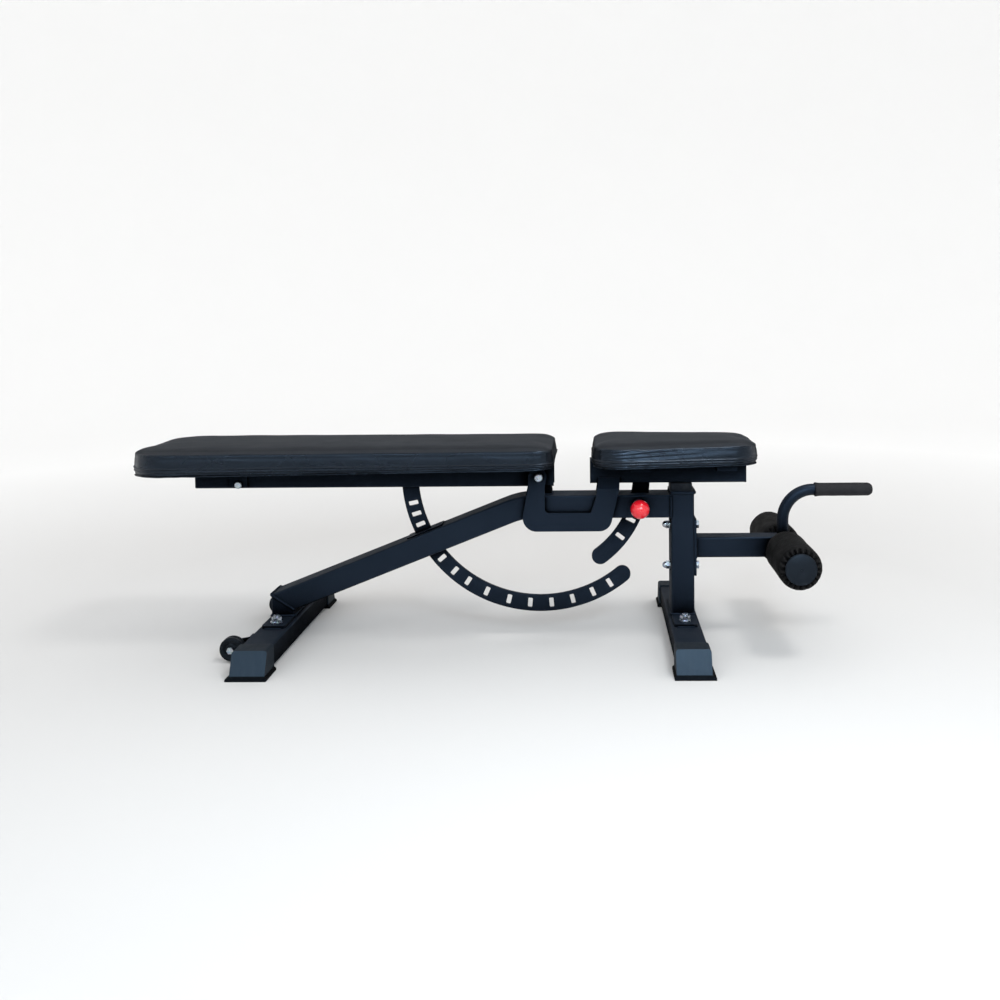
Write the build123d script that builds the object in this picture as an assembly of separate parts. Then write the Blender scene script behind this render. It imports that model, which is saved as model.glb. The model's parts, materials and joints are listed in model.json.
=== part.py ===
"""Adjustable weight bench with a ladder-strap back rest, a tilting seat and leg-hold rollers.

Millimetres. +X runs along the bench from the head end to the leg rollers, Y across it, +Z up.
The origin is on the floor, in the middle of the bench's outline. "Right" is the -Y side.
Each function below makes one sub-part, or one group of identical ones, at its place at rest.
"""
import os
from math import cos, radians, sin, tan

from build123d import *

# ---- clearances -----------------------------------------------------------------------------
RUNNING = 0.05      # radial clearance of a shaft in the bore that turns on it
GAP = 0.3           # clearance between faces that move past each other
REACH = 1000.0      # half-size of the blocks that trim things

# ---- pivot shared by the back rest and the seat ----------------------------------------------
PIVOT_X = 68.0
PIVOT_Z = 360.0
PIVOT_BOLT_R = 6.0
LUG_HALF_WIDTH = 19.0
LUG_BASE_HALF_LENGTH = 28.0
LUG_CROWN_R = 20.0
LUG_PLATE = 6.0

# ---- main tubes --------------------------------------------------------------------------------
TUBE_WIDTH = 70.0       # across the bench
TUBE_HEIGHT = 50.0
WALL = 2.5
CORNER = 4.0
BEAM_TOP = 319.0
BEAM_BEND_X = 29.0
BEAM_BEND_R = 150.0
BEAM_FALL = 21.45       # degrees that the rear run falls below horizontal
POST_X = 379.0
POST_TOP = 322.0
REAR_X = -497.0
PLATE = 6.0

# ---- feet ----------------------------------------------------------------------------------------
FOOT_HALF = 275.0       # floor to floor, across the bench
FOOT_WIDTH = 64.0
FOOT_BOTTOM = 7.0
FOOT_TOP = 51.0
CAP_LENGTH = 66.0
CAP_WALL = 3.0
CAP_SLANT = 25.0        # the end face leans in by this much at the top
CAP_LIP = 8.0           # the base's step outwards, away from the middle of the bench
CAP_INNER_LIP = 4.0
CAP_LIP_HEIGHT = 7.0
BASE_PLATE = (50.0, 210.0)
FOOT_BOLT_Y = 78.0
FOOT_BOLT_R = 6.0
FOOT_BOLT_LENGTH = 66.0

# ---- back rest -------------------------------------------------------------------------------------
BACK_TUBE = 50.0
BACK_TUBE_TOP = 388.0
BACK_TUBE_HEAD_X = -684.0
BACK_PAD_BOTTOM = 392.0
BACK_PAD_TOP = 436.0
BACK_PAD_HEAD_X = -796.0
BACK_PAD_HIP_X = 107.0
BACK_PAD_HEAD_HALF = 157.0
BACK_PAD_HIP_HALF = 140.0
BACK_STRAP_R = 285.5
BACK_STRAP_WIDTH = 36.0
BACK_STRAP_END = -39.2
BACK_PIN_ANGLE = 57.75          # from straight down, towards the head end
BACK_BRACKET_XS = (-590.0, -345.0, -60.0)
BACK_BRACKET_WIDTH = 40.0
BACK_SCREW_Y = 95.0
SADDLE_SCREW = (-590.0, 346.0)
SADDLE_PLATE = 3.0
BACK_STOPS = (-20, -15, -10, -5, 0, 8, 16, 23.5, 33, 43.5, 53, 62.5, 72, 81.5, 90)

# ---- seat ----------------------------------------------------------------------------------------
SEAT_TUBE_TOP = 394.0
SEAT_TUBE_REAR_X = 182.0
SEAT_TUBE_FRONT_X = 514.0
SEAT_PAD_BOTTOM = 398.0
SEAT_PAD_TOP = 439.0
SEAT_PAD_REAR_X = 181.0
SEAT_PAD_FRONT_X = 541.0
SEAT_PAD_REAR_HALF = 157.0
SEAT_PAD_FRONT_HALF = 100.0
SEAT_STRAP_R = 224.0
SEAT_STRAP_WIDTH = 37.0
SEAT_STRAP_END = 53.9           # below horizontal
SEAT_PIN_ANGLE = 15.6           # below horizontal, towards the seat
SEAT_STOPS = (0, 11.25, 22.5)
SEAT_BRACKETS = ((285.0, 92.0), (468.0, 84.0))      # each one's place along X and its half-length
SEAT_BRACKET_WIDTH = 42.0
SEAT_SCREW_Y = 62.0
LINK_INNER = TUBE_WIDTH / 2 + 1.0
LINK_PLATE = 6.0

STRAP_THICKNESS = 8.0
SLOT_LENGTH = 22.0
SLOT_WIDTH = 10.0
SLOT_CORNER = 2.5
BOARD = 12.0
BOARD_SCREW_R = 3.0

# ---- pop pins ------------------------------------------------------------------------------------
PIN_R = 4.75
PIN_TIP = 5.0           # the tip's distance from the mid plane
PIN_COLLAR_R = 7.8
PIN_COLLAR = (45.3, 47.3)
HOUSING_R = 12.0
HOUSING_BORE_R = 8.2
HOUSING_END = 62.0
HOUSING_SHOULDER = 58.0
KNOB_R = 20.0
KNOB_CENTRE = 95.0
SPRING_WIRE_R = 0.6
SPRING_COIL_R = 6.5
SPRING_PITCH = 1.9

# ---- leg hold ------------------------------------------------------------------------------------
LEG_TUBE = 45.0
LEG_TUBE_Z = 201.0
LEG_TUBE_END_X = 625.0
LEG_PLATE = (140.0, 265.0)
LEG_PLATE_THICKNESS = 5.0
LEG_BOLTS_Z = (158.0, 248.0)
LEG_BOLT_R = 5.0
HANDLE_R = 12.5
HANDLE_X = 601.0
HANDLE_Z = 323.0
HANDLE_BEND_R = 66.0
GRIP_R = 14.5
GRIP_START_X = 670.0
GRIP_END_X = 796.0
AXLE_X = 602.0
AXLE_Z = 194.0
AXLE_R = 12.5
AXLE_HALF = 182.0
CORE_R = 17.0
ROLLER_R = 45.0
ROLLER_INNER = 28.0
ROLLER_OUTER = 188.0
CORE_DISC_R = 31.5
CORE_DISC_END = 191.0

# ---- transport wheels ----------------------------------------------------------------------------
WHEEL_X = -563.5
WHEEL_Z = 28.0
WHEEL_R = 25.0
WHEEL_BOLT_R = 4.0
WHEEL_EAR = (143.0, 148.0)
WHEEL_BRACKET_Z = (14.0, 48.0)
WHEEL_FACE = (149.0, 171.0)

POST_REAR = POST_X - TUBE_HEIGHT / 2
POST_FRONT = POST_X + TUBE_HEIGHT / 2
BEAM_MID_Z = BEAM_TOP - TUBE_HEIGHT / 2
BEAM_SLOPE = tan(radians(BEAM_FALL))
SIDES = {"right": -1, "left": 1}


# ---- shapes that recur -----------------------------------------------------------------------------
def along_x(x0, x1, outline):
    """A Y-Z outline carried from x0 to x1."""
    return Pos(x0, 0, 0) * extrude(Plane.YZ * outline, x1 - x0)


def along_y(y0, y1, outline):
    """An X-Z outline carried from y0 to y1."""
    return Pos(0, y1, 0) * extrude(Plane.XZ * outline, y1 - y0)


def along_z(z0, z1, outline):
    """An X-Y outline carried from z0 to z1."""
    return Pos(0, 0, z0) * extrude(outline, z1 - z0)


def block(x, y, z):
    """A box from three (low, high) pairs."""
    centre = Pos((x[0] + x[1]) / 2, (y[0] + y[1]) / 2, (z[0] + z[1]) / 2)
    return centre * Box(x[1] - x[0], y[1] - y[0], z[1] - z[0])


def disc(u, v, radius):
    """A round outline at a place in its plane."""
    return Pos(u, v) * Circle(radius)


def hexagon(u, v, across_flats):
    """A hexagonal outline at a place in its plane."""
    return Pos(u, v) * RegularPolygon(across_flats / 2, 6, major_radius=False)


def ring_outline(width, height, wall=WALL, corner=CORNER):
    """The section of a rectangular tube."""
    outer = RectangleRounded(width, height, corner)
    return outer - RectangleRounded(width - 2 * wall, height - 2 * wall, corner - wall)


def rounded(points, radii):
    """A closed outline through points, each with its own corner radius."""
    return make_face(FilletPolyline(*points, radius=radii, close=True))


def ordered(side, near, far):
    """The low and high Y of a span given by its distances from the mid plane."""
    return tuple(sorted((side * near, side * far)))


def mirrored(shape):
    """A shape and its twin on the other side of the bench."""
    return [shape, mirror(shape, about=Plane.XZ)]


# ---- outlines about the pivot ------------------------------------------------------------------------
def polar(radius, angle):
    """A point about the pivot in X-Z, at an angle from +X towards +Z."""
    return (PIVOT_X + radius * cos(radians(angle)), PIVOT_Z + radius * sin(radians(angle)))


def strap(radius, width, start, end, slot_angles):
    """A flat curved strap about the pivot with a radial slot at each angle."""
    centre_line = CenterArc((PIVOT_X, PIVOT_Z), radius, start, end - start)
    outline = SlotArc(centre_line, width)
    for angle in slot_angles:
        u, v = polar(radius, angle)
        outline -= Pos(u, v) * Rot(0, 0, angle) * RectangleRounded(SLOT_LENGTH, SLOT_WIDTH, SLOT_CORNER)
    return along_y(-STRAP_THICKNESS / 2, STRAP_THICKNESS / 2, outline)


def strap_slot(radius, width, x):
    """The way through the beam that a strap needs, between two X values."""
    clearance = 1.5
    ring = disc(PIVOT_X, PIVOT_Z, radius + width / 2 + clearance)
    ring -= disc(PIVOT_X, PIVOT_Z, radius - width / 2 - clearance)
    half = STRAP_THICKNESS / 2 + 1.0
    return along_y(-half, half, ring) & block(x, (-half, half), (0, PIVOT_Z))


BACK_SLOT_WAY = (BACK_STRAP_R, BACK_STRAP_WIDTH, (-260, -60))
SEAT_SLOT_WAY = (SEAT_STRAP_R, SEAT_STRAP_WIDTH, (200, 330))
BACK_PIN = polar(BACK_STRAP_R, 270 - BACK_PIN_ANGLE)
SEAT_PIN = polar(SEAT_STRAP_R, -SEAT_PIN_ANGLE)


# ---- frame -----------------------------------------------------------------------------------------
def mitre_plane():
    """The cut where the falling beam meets the upright stub over the rear foot."""
    lean = (90 - BEAM_FALL) / 2
    joint_z = BEAM_MID_Z - BEAM_SLOPE * (BEAM_BEND_X - REAR_X)
    return Plane(
        origin=(REAR_X, 0, joint_z),
        x_dir=(0, 1, 0),
        z_dir=(sin(radians(lean)), 0, cos(radians(lean))),
    )


def beam_path():
    """The beam's centre line, past both of its ends."""
    tail_x = REAR_X - 60
    tail_z = BEAM_MID_Z - BEAM_SLOPE * (BEAM_BEND_X - tail_x)
    points = [(POST_REAR, 0, BEAM_MID_Z), (BEAM_BEND_X, 0, BEAM_MID_Z), (tail_x, 0, tail_z)]
    return FilletPolyline(*points, radius=BEAM_BEND_R)


def make_main_beam():
    path = beam_path()
    start = Plane(origin=path @ 0, x_dir=(0, 1, 0), z_dir=path % 0)
    outer = sweep(start * RectangleRounded(TUBE_WIDTH, TUBE_HEIGHT, CORNER), path)
    inner = RectangleRounded(TUBE_WIDTH - 2 * WALL, TUBE_HEIGHT - 2 * WALL, CORNER - WALL)
    beam = outer - sweep(start * inner, path)
    beam = split(beam, bisect_by=mitre_plane(), keep=Keep.TOP)
    beam -= strap_slot(*BACK_SLOT_WAY)
    beam -= strap_slot(*SEAT_SLOT_WAY)
    beam -= along_y(-TUBE_WIDTH, 0, disc(*SEAT_PIN, PIN_R + RUNNING))
    beam -= along_y(0, TUBE_WIDTH, disc(*BACK_PIN, PIN_R + RUNNING))
    return beam


def make_rear_stub():
    section = Pos(REAR_X, 0) * ring_outline(TUBE_HEIGHT, TUBE_WIDTH)
    stub = along_z(FOOT_TOP + PLATE, BEAM_TOP, section)
    return split(stub, bisect_by=mitre_plane(), keep=Keep.BOTTOM)


def make_front_post():
    section = Pos(POST_X, 0) * ring_outline(TUBE_HEIGHT, TUBE_WIDTH)
    post = along_z(FOOT_TOP + PLATE, POST_TOP, section)
    for z in LEG_BOLTS_Z:
        post -= along_x(POST_REAR - 5, POST_FRONT + 5, disc(0, z, LEG_BOLT_R))
    return post


def make_post_top_plate():
    outline = Pos(POST_X + 1, 0) * RectangleRounded(TUBE_HEIGHT + 6, TUBE_WIDTH + 4, 5)
    return along_z(POST_TOP, POST_TOP + 4, outline)


def make_rest_bumper():
    outline = Pos(POST_X - 2, 0) * RectangleRounded(48, 52, 6)
    bumper = along_z(POST_TOP + 4, SEAT_TUBE_TOP - BACK_TUBE - GAP, outline)
    return fillet(bumper.faces().sort_by(Axis.Z)[-1].edges(), 3)


def make_base_plate(x):
    plate = along_z(FOOT_TOP, FOOT_TOP + PLATE, Pos(x, 0) * RectangleRounded(*BASE_PLATE, 8))
    for side in SIDES.values():
        plate -= along_z(0, 100, disc(x, side * FOOT_BOLT_Y, FOOT_BOLT_R))
    return plate


def make_foot_tube(x):
    section = Pos(x, (FOOT_BOTTOM + FOOT_TOP) / 2)
    section *= ring_outline(FOOT_WIDTH, FOOT_TOP - FOOT_BOTTOM)
    end = FOOT_HALF - CAP_SLANT - CAP_WALL
    tube = along_y(-end, end, section)
    for side in SIDES.values():
        tube -= along_z(0, 100, disc(x, side * FOOT_BOLT_Y, FOOT_BOLT_R))
    return tube


def make_foot_cap(x, outward, side):
    """A moulded sleeve over a foot's end; its base steps outwards and its end face leans in."""
    half = FOOT_WIDTH / 2 + CAP_WALL
    top = FOOT_TOP + CAP_WALL
    lip = half + CAP_LIP
    inner_lip = half + CAP_INNER_LIP
    profile = rounded(
        [(-inner_lip, 0), (lip, 0), (lip, CAP_LIP_HEIGHT - 2), (half, CAP_LIP_HEIGHT + 1),
         (half, top), (-half, top), (-half, CAP_LIP_HEIGHT + 1), (-inner_lip, CAP_LIP_HEIGHT - 2)],
        [1, 1.5, 1.5, 0, CORNER + CAP_WALL - 1, CORNER + CAP_WALL - 1, 0, 1.5],
    )
    if outward < 0:
        profile = mirror(profile, about=Plane.YZ)
    body = along_y(*ordered(side, FOOT_HALF - CAP_LENGTH, FOOT_HALF), Pos(x, 0) * profile)
    lean = [(FOOT_HALF, 0), (FOOT_HALF + 20, 0), (FOOT_HALF + 20, top + 1), (FOOT_HALF - CAP_SLANT, top + 1)]
    cutter = make_face(Polyline(*[(side * y, z) for y, z in lean], close=True))
    body -= along_x(x - lip - 1, x + lip + 1, cutter)
    pocket_end = FOOT_HALF - CAP_SLANT - CAP_WALL
    pocket = RectangleRounded(FOOT_WIDTH, FOOT_TOP - FOOT_BOTTOM, CORNER)
    pocket = Pos(x, (FOOT_BOTTOM + FOOT_TOP) / 2) * pocket
    return body - along_y(*ordered(side, FOOT_HALF - CAP_LENGTH - 1, pocket_end), pocket)


def foot_bolt_places():
    return [(x, side * FOOT_BOLT_Y) for x in (POST_X, REAR_X) for side in SIDES.values()]


def make_foot_bolts():
    """Carriage bolts up through the foot tubes, their domed heads under the tubes."""
    bolts = []
    for x, y in foot_bolt_places():
        shank = along_z(FOOT_BOTTOM, FOOT_BOTTOM + FOOT_BOLT_LENGTH, disc(x, y, FOOT_BOLT_R))
        head = along_z(FOOT_BOTTOM - 5, FOOT_BOTTOM, disc(x, y, 13))
        head = fillet(head.faces().sort_by(Axis.Z)[0].edges(), 4)
        bolts.append(shank + head)
    return bolts


def make_foot_nuts():
    """Flanged nuts on the base plates."""
    nuts = []
    seat = FOOT_TOP + PLATE
    for x, y in foot_bolt_places():
        nut = along_z(seat, seat + 2.5, disc(x, y, 13))
        nut += along_z(seat + 2.5, seat + 12, hexagon(x, y, 19))
        nuts.append(nut - along_z(seat - 1, seat + 13, disc(x, y, FOOT_BOLT_R)))
    return nuts


def make_pivot_lug():
    """A folded bracket on the beam with a tube welded across it for the pivot bolt."""
    base = PIVOT_Z - BEAM_TOP
    foot = Pos(0, -base + 3) * Rectangle(2 * LUG_BASE_HALF_LENGTH, 6)
    outline = make_hull(foot.edges() + Circle(LUG_CROWN_R).edges())
    outline = Pos(PIVOT_X, PIVOT_Z) * outline
    lug = along_y(-LUG_HALF_WIDTH, LUG_HALF_WIDTH, outline)
    inside = LUG_HALF_WIDTH - LUG_PLATE
    lug -= block((0, 200), (-inside, inside), (BEAM_TOP + 5, 400))
    lug += along_y(-LUG_HALF_WIDTH, LUG_HALF_WIDTH, disc(PIVOT_X, PIVOT_Z, 12))
    return lug - along_y(-50, 50, disc(PIVOT_X, PIVOT_Z, PIVOT_BOLT_R))


def make_pivot_bolt():
    """A button-head bolt across the lug, the back frame and both seat links."""
    head_y = -(LINK_INNER + LINK_PLATE + GAP)
    bolt = along_y(head_y, 58, disc(PIVOT_X, PIVOT_Z, PIVOT_BOLT_R))
    head = along_y(head_y - 6, head_y, disc(PIVOT_X, PIVOT_Z, 9.5))
    head = fillet(head.faces().sort_by(Axis.Y)[0].edges(), 4)
    head -= along_y(head_y - 7, head_y - 3, hexagon(PIVOT_X, PIVOT_Z, 6))
    return bolt + head


def make_pivot_nut():
    seat = LINK_INNER + LINK_PLATE + GAP
    nut = along_y(seat, seat + 2, disc(PIVOT_X, PIVOT_Z, 12))
    nut += along_y(seat + 2, seat + 12, hexagon(PIVOT_X, PIVOT_Z, 19))
    return nut - along_y(seat - 1, seat + 13, disc(PIVOT_X, PIVOT_Z, PIVOT_BOLT_R))


def pivot_ring(near, far, radius):
    ring = along_y(near, far, disc(PIVOT_X, PIVOT_Z, radius))
    return mirrored(ring - along_y(near - 1, far + 1, disc(PIVOT_X, PIVOT_Z, PIVOT_BOLT_R)))


def make_pivot_washers():
    """Nylon washers between the lug and the back frame's cheeks."""
    return pivot_ring(LUG_HALF_WIDTH, BACK_TUBE / 2 - WALL - GAP, 15)


def make_pivot_spacers():
    """Steel sleeves between the back frame's cheeks and the seat links."""
    return pivot_ring(BACK_TUBE / 2 + GAP, LINK_INNER - GAP, 11)


def make_arc_guide_plate():
    """A plate on the falling beam that frames the slot for the back strap."""
    top_z = BEAM_MID_Z - BEAM_SLOPE * (BEAM_BEND_X - BACK_PIN[0])
    plane = Plane(
        origin=(BACK_PIN[0], 0, top_z),
        x_dir=(cos(radians(BEAM_FALL)), 0, sin(radians(BEAM_FALL))),
        z_dir=(-sin(radians(BEAM_FALL)), 0, cos(radians(BEAM_FALL))),
    )
    low = TUBE_HEIGHT / 2
    plate = plane * Pos(-2, 0, low) * extrude(RectangleRounded(84, 46, 5), 3)
    return plate - strap_slot(*BACK_SLOT_WAY)


# ---- pop pins -----------------------------------------------------------------------------------------
def make_pin_housing(pin, side):
    housing = along_y(*ordered(side, TUBE_WIDTH / 2, HOUSING_END), disc(*pin, HOUSING_R))
    housing -= along_y(*ordered(side, TUBE_WIDTH / 2 - 1, HOUSING_SHOULDER), disc(*pin, HOUSING_BORE_R))
    return housing - along_y(*ordered(side, 50, HOUSING_END + 1), disc(*pin, PIN_R + RUNNING))


def make_pin_plunger(pin, side):
    plunger = along_y(*ordered(side, PIN_TIP, KNOB_CENTRE - 5), disc(*pin, PIN_R))
    plunger += along_y(*ordered(side, *PIN_COLLAR), disc(*pin, PIN_COLLAR_R))
    tip = plunger.faces().sort_by(Axis.Y)[0 if side > 0 else -1]
    return chamfer(tip.edges(), 1)


def make_pin_spring(pin, side):
    """The coil between the plunger's collar and the housing's shoulder."""
    low = PIN_COLLAR[1] + SPRING_WIRE_R + 0.1
    height = HOUSING_SHOULDER - SPRING_WIRE_R - 0.1 - low
    coil = Helix(SPRING_PITCH, height, SPRING_COIL_R)
    wire = Plane(origin=coil @ 0, z_dir=coil % 0) * Circle(SPRING_WIRE_R)
    spring = sweep(wire, coil, is_frenet=True)
    return Pos(pin[0], side * low, pin[1]) * Rot(-90 * side, 0, 0) * spring


def make_pin_knob(pin, side):
    knob = Pos(pin[0], side * KNOB_CENTRE, pin[1]) * Sphere(KNOB_R)
    return knob - along_y(*ordered(side, 50, KNOB_CENTRE - 5), disc(*pin, PIN_R))


# ---- leg hold ---------------------------------------------------------------------------------------
def make_leg_plate():
    x = (POST_FRONT, POST_FRONT + LEG_PLATE_THICKNESS)
    middle = sum(LEG_PLATE) / 2
    outline = Pos(0, middle) * RectangleRounded(TUBE_WIDTH - 4, LEG_PLATE[1] - LEG_PLATE[0], 6)
    plate = along_x(*x, outline)
    for z in LEG_BOLTS_Z:
        plate -= along_x(x[0] - 1, x[1] + 1, disc(0, z, LEG_BOLT_R))
    return plate


def make_leg_tube():
    section = Pos(0, LEG_TUBE_Z) * ring_outline(LEG_TUBE, LEG_TUBE)
    tube = along_x(POST_FRONT + LEG_PLATE_THICKNESS, LEG_TUBE_END_X, section)
    return tube - along_y(-50, 50, disc(AXLE_X, AXLE_Z, AXLE_R))


def make_leg_tube_cap():
    """A plastic plug: a flange over the tube's end and a spigot inside it."""
    inside = LEG_TUBE - 2 * WALL
    x = LEG_TUBE_END_X
    flange = along_x(x, x + 3, Pos(0, LEG_TUBE_Z) * RectangleRounded(LEG_TUBE, LEG_TUBE, CORNER))
    flange = fillet(flange.faces().sort_by(Axis.X)[-1].edges(), 1.5)
    return flange + along_x(x - 10, x, Pos(0, LEG_TUBE_Z) * RectangleRounded(inside, inside, 1.5))


def make_leg_bolts():
    bolts = []
    head = POST_FRONT + LEG_PLATE_THICKNESS
    for z in LEG_BOLTS_Z:
        bolt = along_x(POST_REAR - 12, head, disc(0, z, LEG_BOLT_R))
        bolt += along_x(head, head + 2, disc(0, z, 10))
        bolts.append(bolt + along_x(head + 2, head + 8, hexagon(0, z, 16)))
    return bolts


def make_leg_nuts():
    """Acorn nuts on the post's rear face."""
    nuts = []
    for z in LEG_BOLTS_Z:
        nut = along_x(POST_REAR - 2, POST_REAR, disc(0, z, 10))
        nut += along_x(POST_REAR - 9, POST_REAR - 2, hexagon(0, z, 16))
        nut += Pos(POST_REAR - 10, 0, z) * Sphere(7.5)
        nuts.append(nut - along_x(POST_REAR - 12, POST_REAR + 1, disc(0, z, LEG_BOLT_R)))
    return nuts


def make_handle_tube():
    foot = (HANDLE_X, 0, LEG_TUBE_Z + LEG_TUBE / 2)
    path = FilletPolyline(
        foot, (HANDLE_X, 0, HANDLE_Z), (GRIP_END_X - 6, 0, HANDLE_Z), radius=HANDLE_BEND_R
    )
    section = Pos(*foot) * (Circle(HANDLE_R) - Circle(HANDLE_R - 2))
    return sweep(section, path)


def make_handle_grip():
    grip = along_x(GRIP_START_X, GRIP_END_X, disc(0, HANDLE_Z, GRIP_R))
    grip = fillet(grip.faces().sort_by(Axis.X)[-1].edges(), 9)
    grip = fillet(grip.faces().sort_by(Axis.X)[0].edges(), 1)
    return grip - along_x(GRIP_START_X - 1, GRIP_END_X - 6, disc(0, HANDLE_Z, HANDLE_R))


def make_roller_axle():
    ring = disc(AXLE_X, AXLE_Z, AXLE_R) - disc(AXLE_X, AXLE_Z, AXLE_R - 2)
    return along_y(-AXLE_HALF, AXLE_HALF, ring)


def make_roller_core(side):
    """A plastic tube that turns on the axle, with a disc over its outer end."""
    core = along_y(*ordered(side, ROLLER_INNER, ROLLER_OUTER), disc(AXLE_X, AXLE_Z, CORE_R))
    core += along_y(*ordered(side, ROLLER_OUTER, CORE_DISC_END), disc(AXLE_X, AXLE_Z, CORE_DISC_R))
    bore = disc(AXLE_X, AXLE_Z, AXLE_R + RUNNING)
    return core - along_y(*ordered(side, ROLLER_INNER - 1, AXLE_HALF + 1), bore)


def make_roller_foam(side):
    foam = along_y(*ordered(side, ROLLER_INNER, ROLLER_OUTER), disc(AXLE_X, AXLE_Z, ROLLER_R))
    foam = fillet(foam.faces().filter_by(Plane.XZ).edges(), 8)
    bore = disc(AXLE_X, AXLE_Z, CORE_R)
    return foam - along_y(*ordered(side, ROLLER_INNER - 1, ROLLER_OUTER + 1), bore)


# ---- transport wheels ----------------------------------------------------------------------------------
def make_wheel_brackets():
    foot_face = REAR_X - FOOT_WIDTH / 2
    low, high = WHEEL_BRACKET_Z
    outline = rounded(
        [(foot_face, low), (foot_face, high), (WHEEL_X - 11, WHEEL_Z + 12), (WHEEL_X - 11, WHEEL_Z - 12)],
        [0, 0, 10, 10],
    )
    ear = along_y(*WHEEL_EAR, outline)
    ear += block((foot_face - 4, foot_face), (WHEEL_EAR[0] - 18, WHEEL_EAR[1]), WHEEL_BRACKET_Z)
    ear -= along_y(WHEEL_EAR[0] - 1, WHEEL_EAR[1] + 1, disc(WHEEL_X, WHEEL_Z, WHEEL_BOLT_R))
    return mirrored(ear)


def make_wheel(side):
    wheel = along_y(*ordered(side, *WHEEL_FACE), disc(WHEEL_X, WHEEL_Z, WHEEL_R))
    wheel = fillet(wheel.faces().filter_by(Plane.XZ).edges(), 4)
    hub_face = disc(WHEEL_X, WHEEL_Z, 16) - disc(WHEEL_X, WHEEL_Z, 9)
    wheel -= along_y(*ordered(side, WHEEL_FACE[1] - 3, WHEEL_FACE[1] + 1), hub_face)
    bore = disc(WHEEL_X, WHEEL_Z, WHEEL_BOLT_R + RUNNING)
    return wheel - along_y(*ordered(side, WHEEL_FACE[0] - 1, WHEEL_FACE[1] + 1), bore)


def make_wheel_bolts():
    head = WHEEL_FACE[1] + GAP
    bolt = along_y(WHEEL_EAR[0] - 8, head, disc(WHEEL_X, WHEEL_Z, WHEEL_BOLT_R))
    bolt += along_y(head, head + 5.5, hexagon(WHEEL_X, WHEEL_Z, 13))
    bolt += along_y(WHEEL_EAR[0] - 7, WHEEL_EAR[0], hexagon(WHEEL_X, WHEEL_Z, 13))
    return mirrored(bolt)


# ---- back rest --------------------------------------------------------------------------------------------
def make_back_frame():
    """A square tube whose walls open out into two cheeks at the pivot."""
    middle = BACK_TUBE_TOP - BACK_TUBE / 2
    cheek_end = PIVOT_X + 32
    inside = BACK_TUBE / 2 - WALL
    tube = along_x(BACK_TUBE_HEAD_X, cheek_end, Pos(0, middle) * ring_outline(BACK_TUBE, BACK_TUBE))
    tube -= block((PIVOT_X - 42, cheek_end + 1), (-inside, inside), (middle - BACK_TUBE, BACK_TUBE_TOP - WALL))
    tube -= block((PIVOT_X - 10, cheek_end + 1), (-inside, inside), (middle, BACK_TUBE_TOP + 1))
    tube -= along_y(-50, 50, disc(*SADDLE_SCREW, BOARD_SCREW_R))
    return tube - along_y(-50, 50, disc(PIVOT_X, PIVOT_Z, PIVOT_BOLT_R + RUNNING))


def make_back_frame_cap():
    middle = BACK_TUBE_TOP - BACK_TUBE / 2
    inside = BACK_TUBE - 2 * WALL
    x = BACK_TUBE_HEAD_X
    flange = along_x(x - 3, x, Pos(0, middle) * RectangleRounded(BACK_TUBE, BACK_TUBE, CORNER))
    flange = fillet(flange.faces().sort_by(Axis.X)[0].edges(), 1.5)
    return flange + along_x(x, x + 12, Pos(0, middle) * RectangleRounded(inside, inside, 1.5))


def back_screw_places():
    return [(x, side * BACK_SCREW_Y) for x in BACK_BRACKET_XS for side in SIDES.values()]


def make_saddle_cheek(side):
    """The head-end bar's leg down one side of the back tube."""
    x, z = SADDLE_SCREW
    edge = BACK_BRACKET_WIDTH / 2
    face = BACK_TUBE / 2
    y = ordered(side, face, face + SADDLE_PLATE)
    cheek = block((x - edge, x + edge), y, (z - 6, BACK_PAD_BOTTOM))
    return cheek - along_y(*ordered(side, face - 1, face + 10), disc(x, z, BOARD_SCREW_R))


def make_back_brackets():
    """Flat bars across the back tube that the board is screwed to; the head-end one is a saddle."""
    bars = []
    for x in BACK_BRACKET_XS:
        outline = Pos(x, 0) * RectangleRounded(BACK_BRACKET_WIDTH, 230, 6)
        bar = along_z(BACK_TUBE_TOP, BACK_PAD_BOTTOM, outline)
        for side in SIDES.values():
            hole = disc(x, side * BACK_SCREW_Y, BOARD_SCREW_R)
            bar -= along_z(BACK_TUBE_TOP - 1, BACK_PAD_BOTTOM + 1, hole)
        bars.append(bar)
    for side in SIDES.values():
        bars[0] += make_saddle_cheek(side)
    return bars


def make_board_screw(x, y, seat, bottom):
    """A pan-head screw up into a board; seat is the face its head bears on."""
    head = along_z(seat - 4, seat, disc(x, y, 6.5))
    head = fillet(head.faces().sort_by(Axis.Z)[0].edges(), 2.5)
    return head + along_z(seat, bottom + BOARD - 2, disc(x, y, BOARD_SCREW_R))


def make_saddle_screw(side):
    """A pan-head screw through the saddle's leg and the back tube's wall."""
    face = BACK_TUBE / 2 + SADDLE_PLATE
    head = along_y(*ordered(side, face, face + 4.5), disc(*SADDLE_SCREW, 8))
    head = fillet(head.faces().sort_by(Axis.Y)[-1 if side > 0 else 0].edges(), 2.5)
    return head + along_y(*ordered(side, face - 12, face), disc(*SADDLE_SCREW, BOARD_SCREW_R))


def make_back_screws():
    screws = [make_board_screw(x, y, BACK_TUBE_TOP, BACK_PAD_BOTTOM) for x, y in back_screw_places()]
    return screws + [make_saddle_screw(side) for side in SIDES.values()]


def tapered_outline(low_x, high_x, low_half, high_half, low_r, high_r):
    """The plan of a pad: straight tapering sides and rounded corners."""
    corners = [(low_x, -low_half), (high_x, -high_half), (high_x, high_half), (low_x, low_half)]
    return rounded(corners, [low_r, high_r, high_r, low_r])


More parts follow.
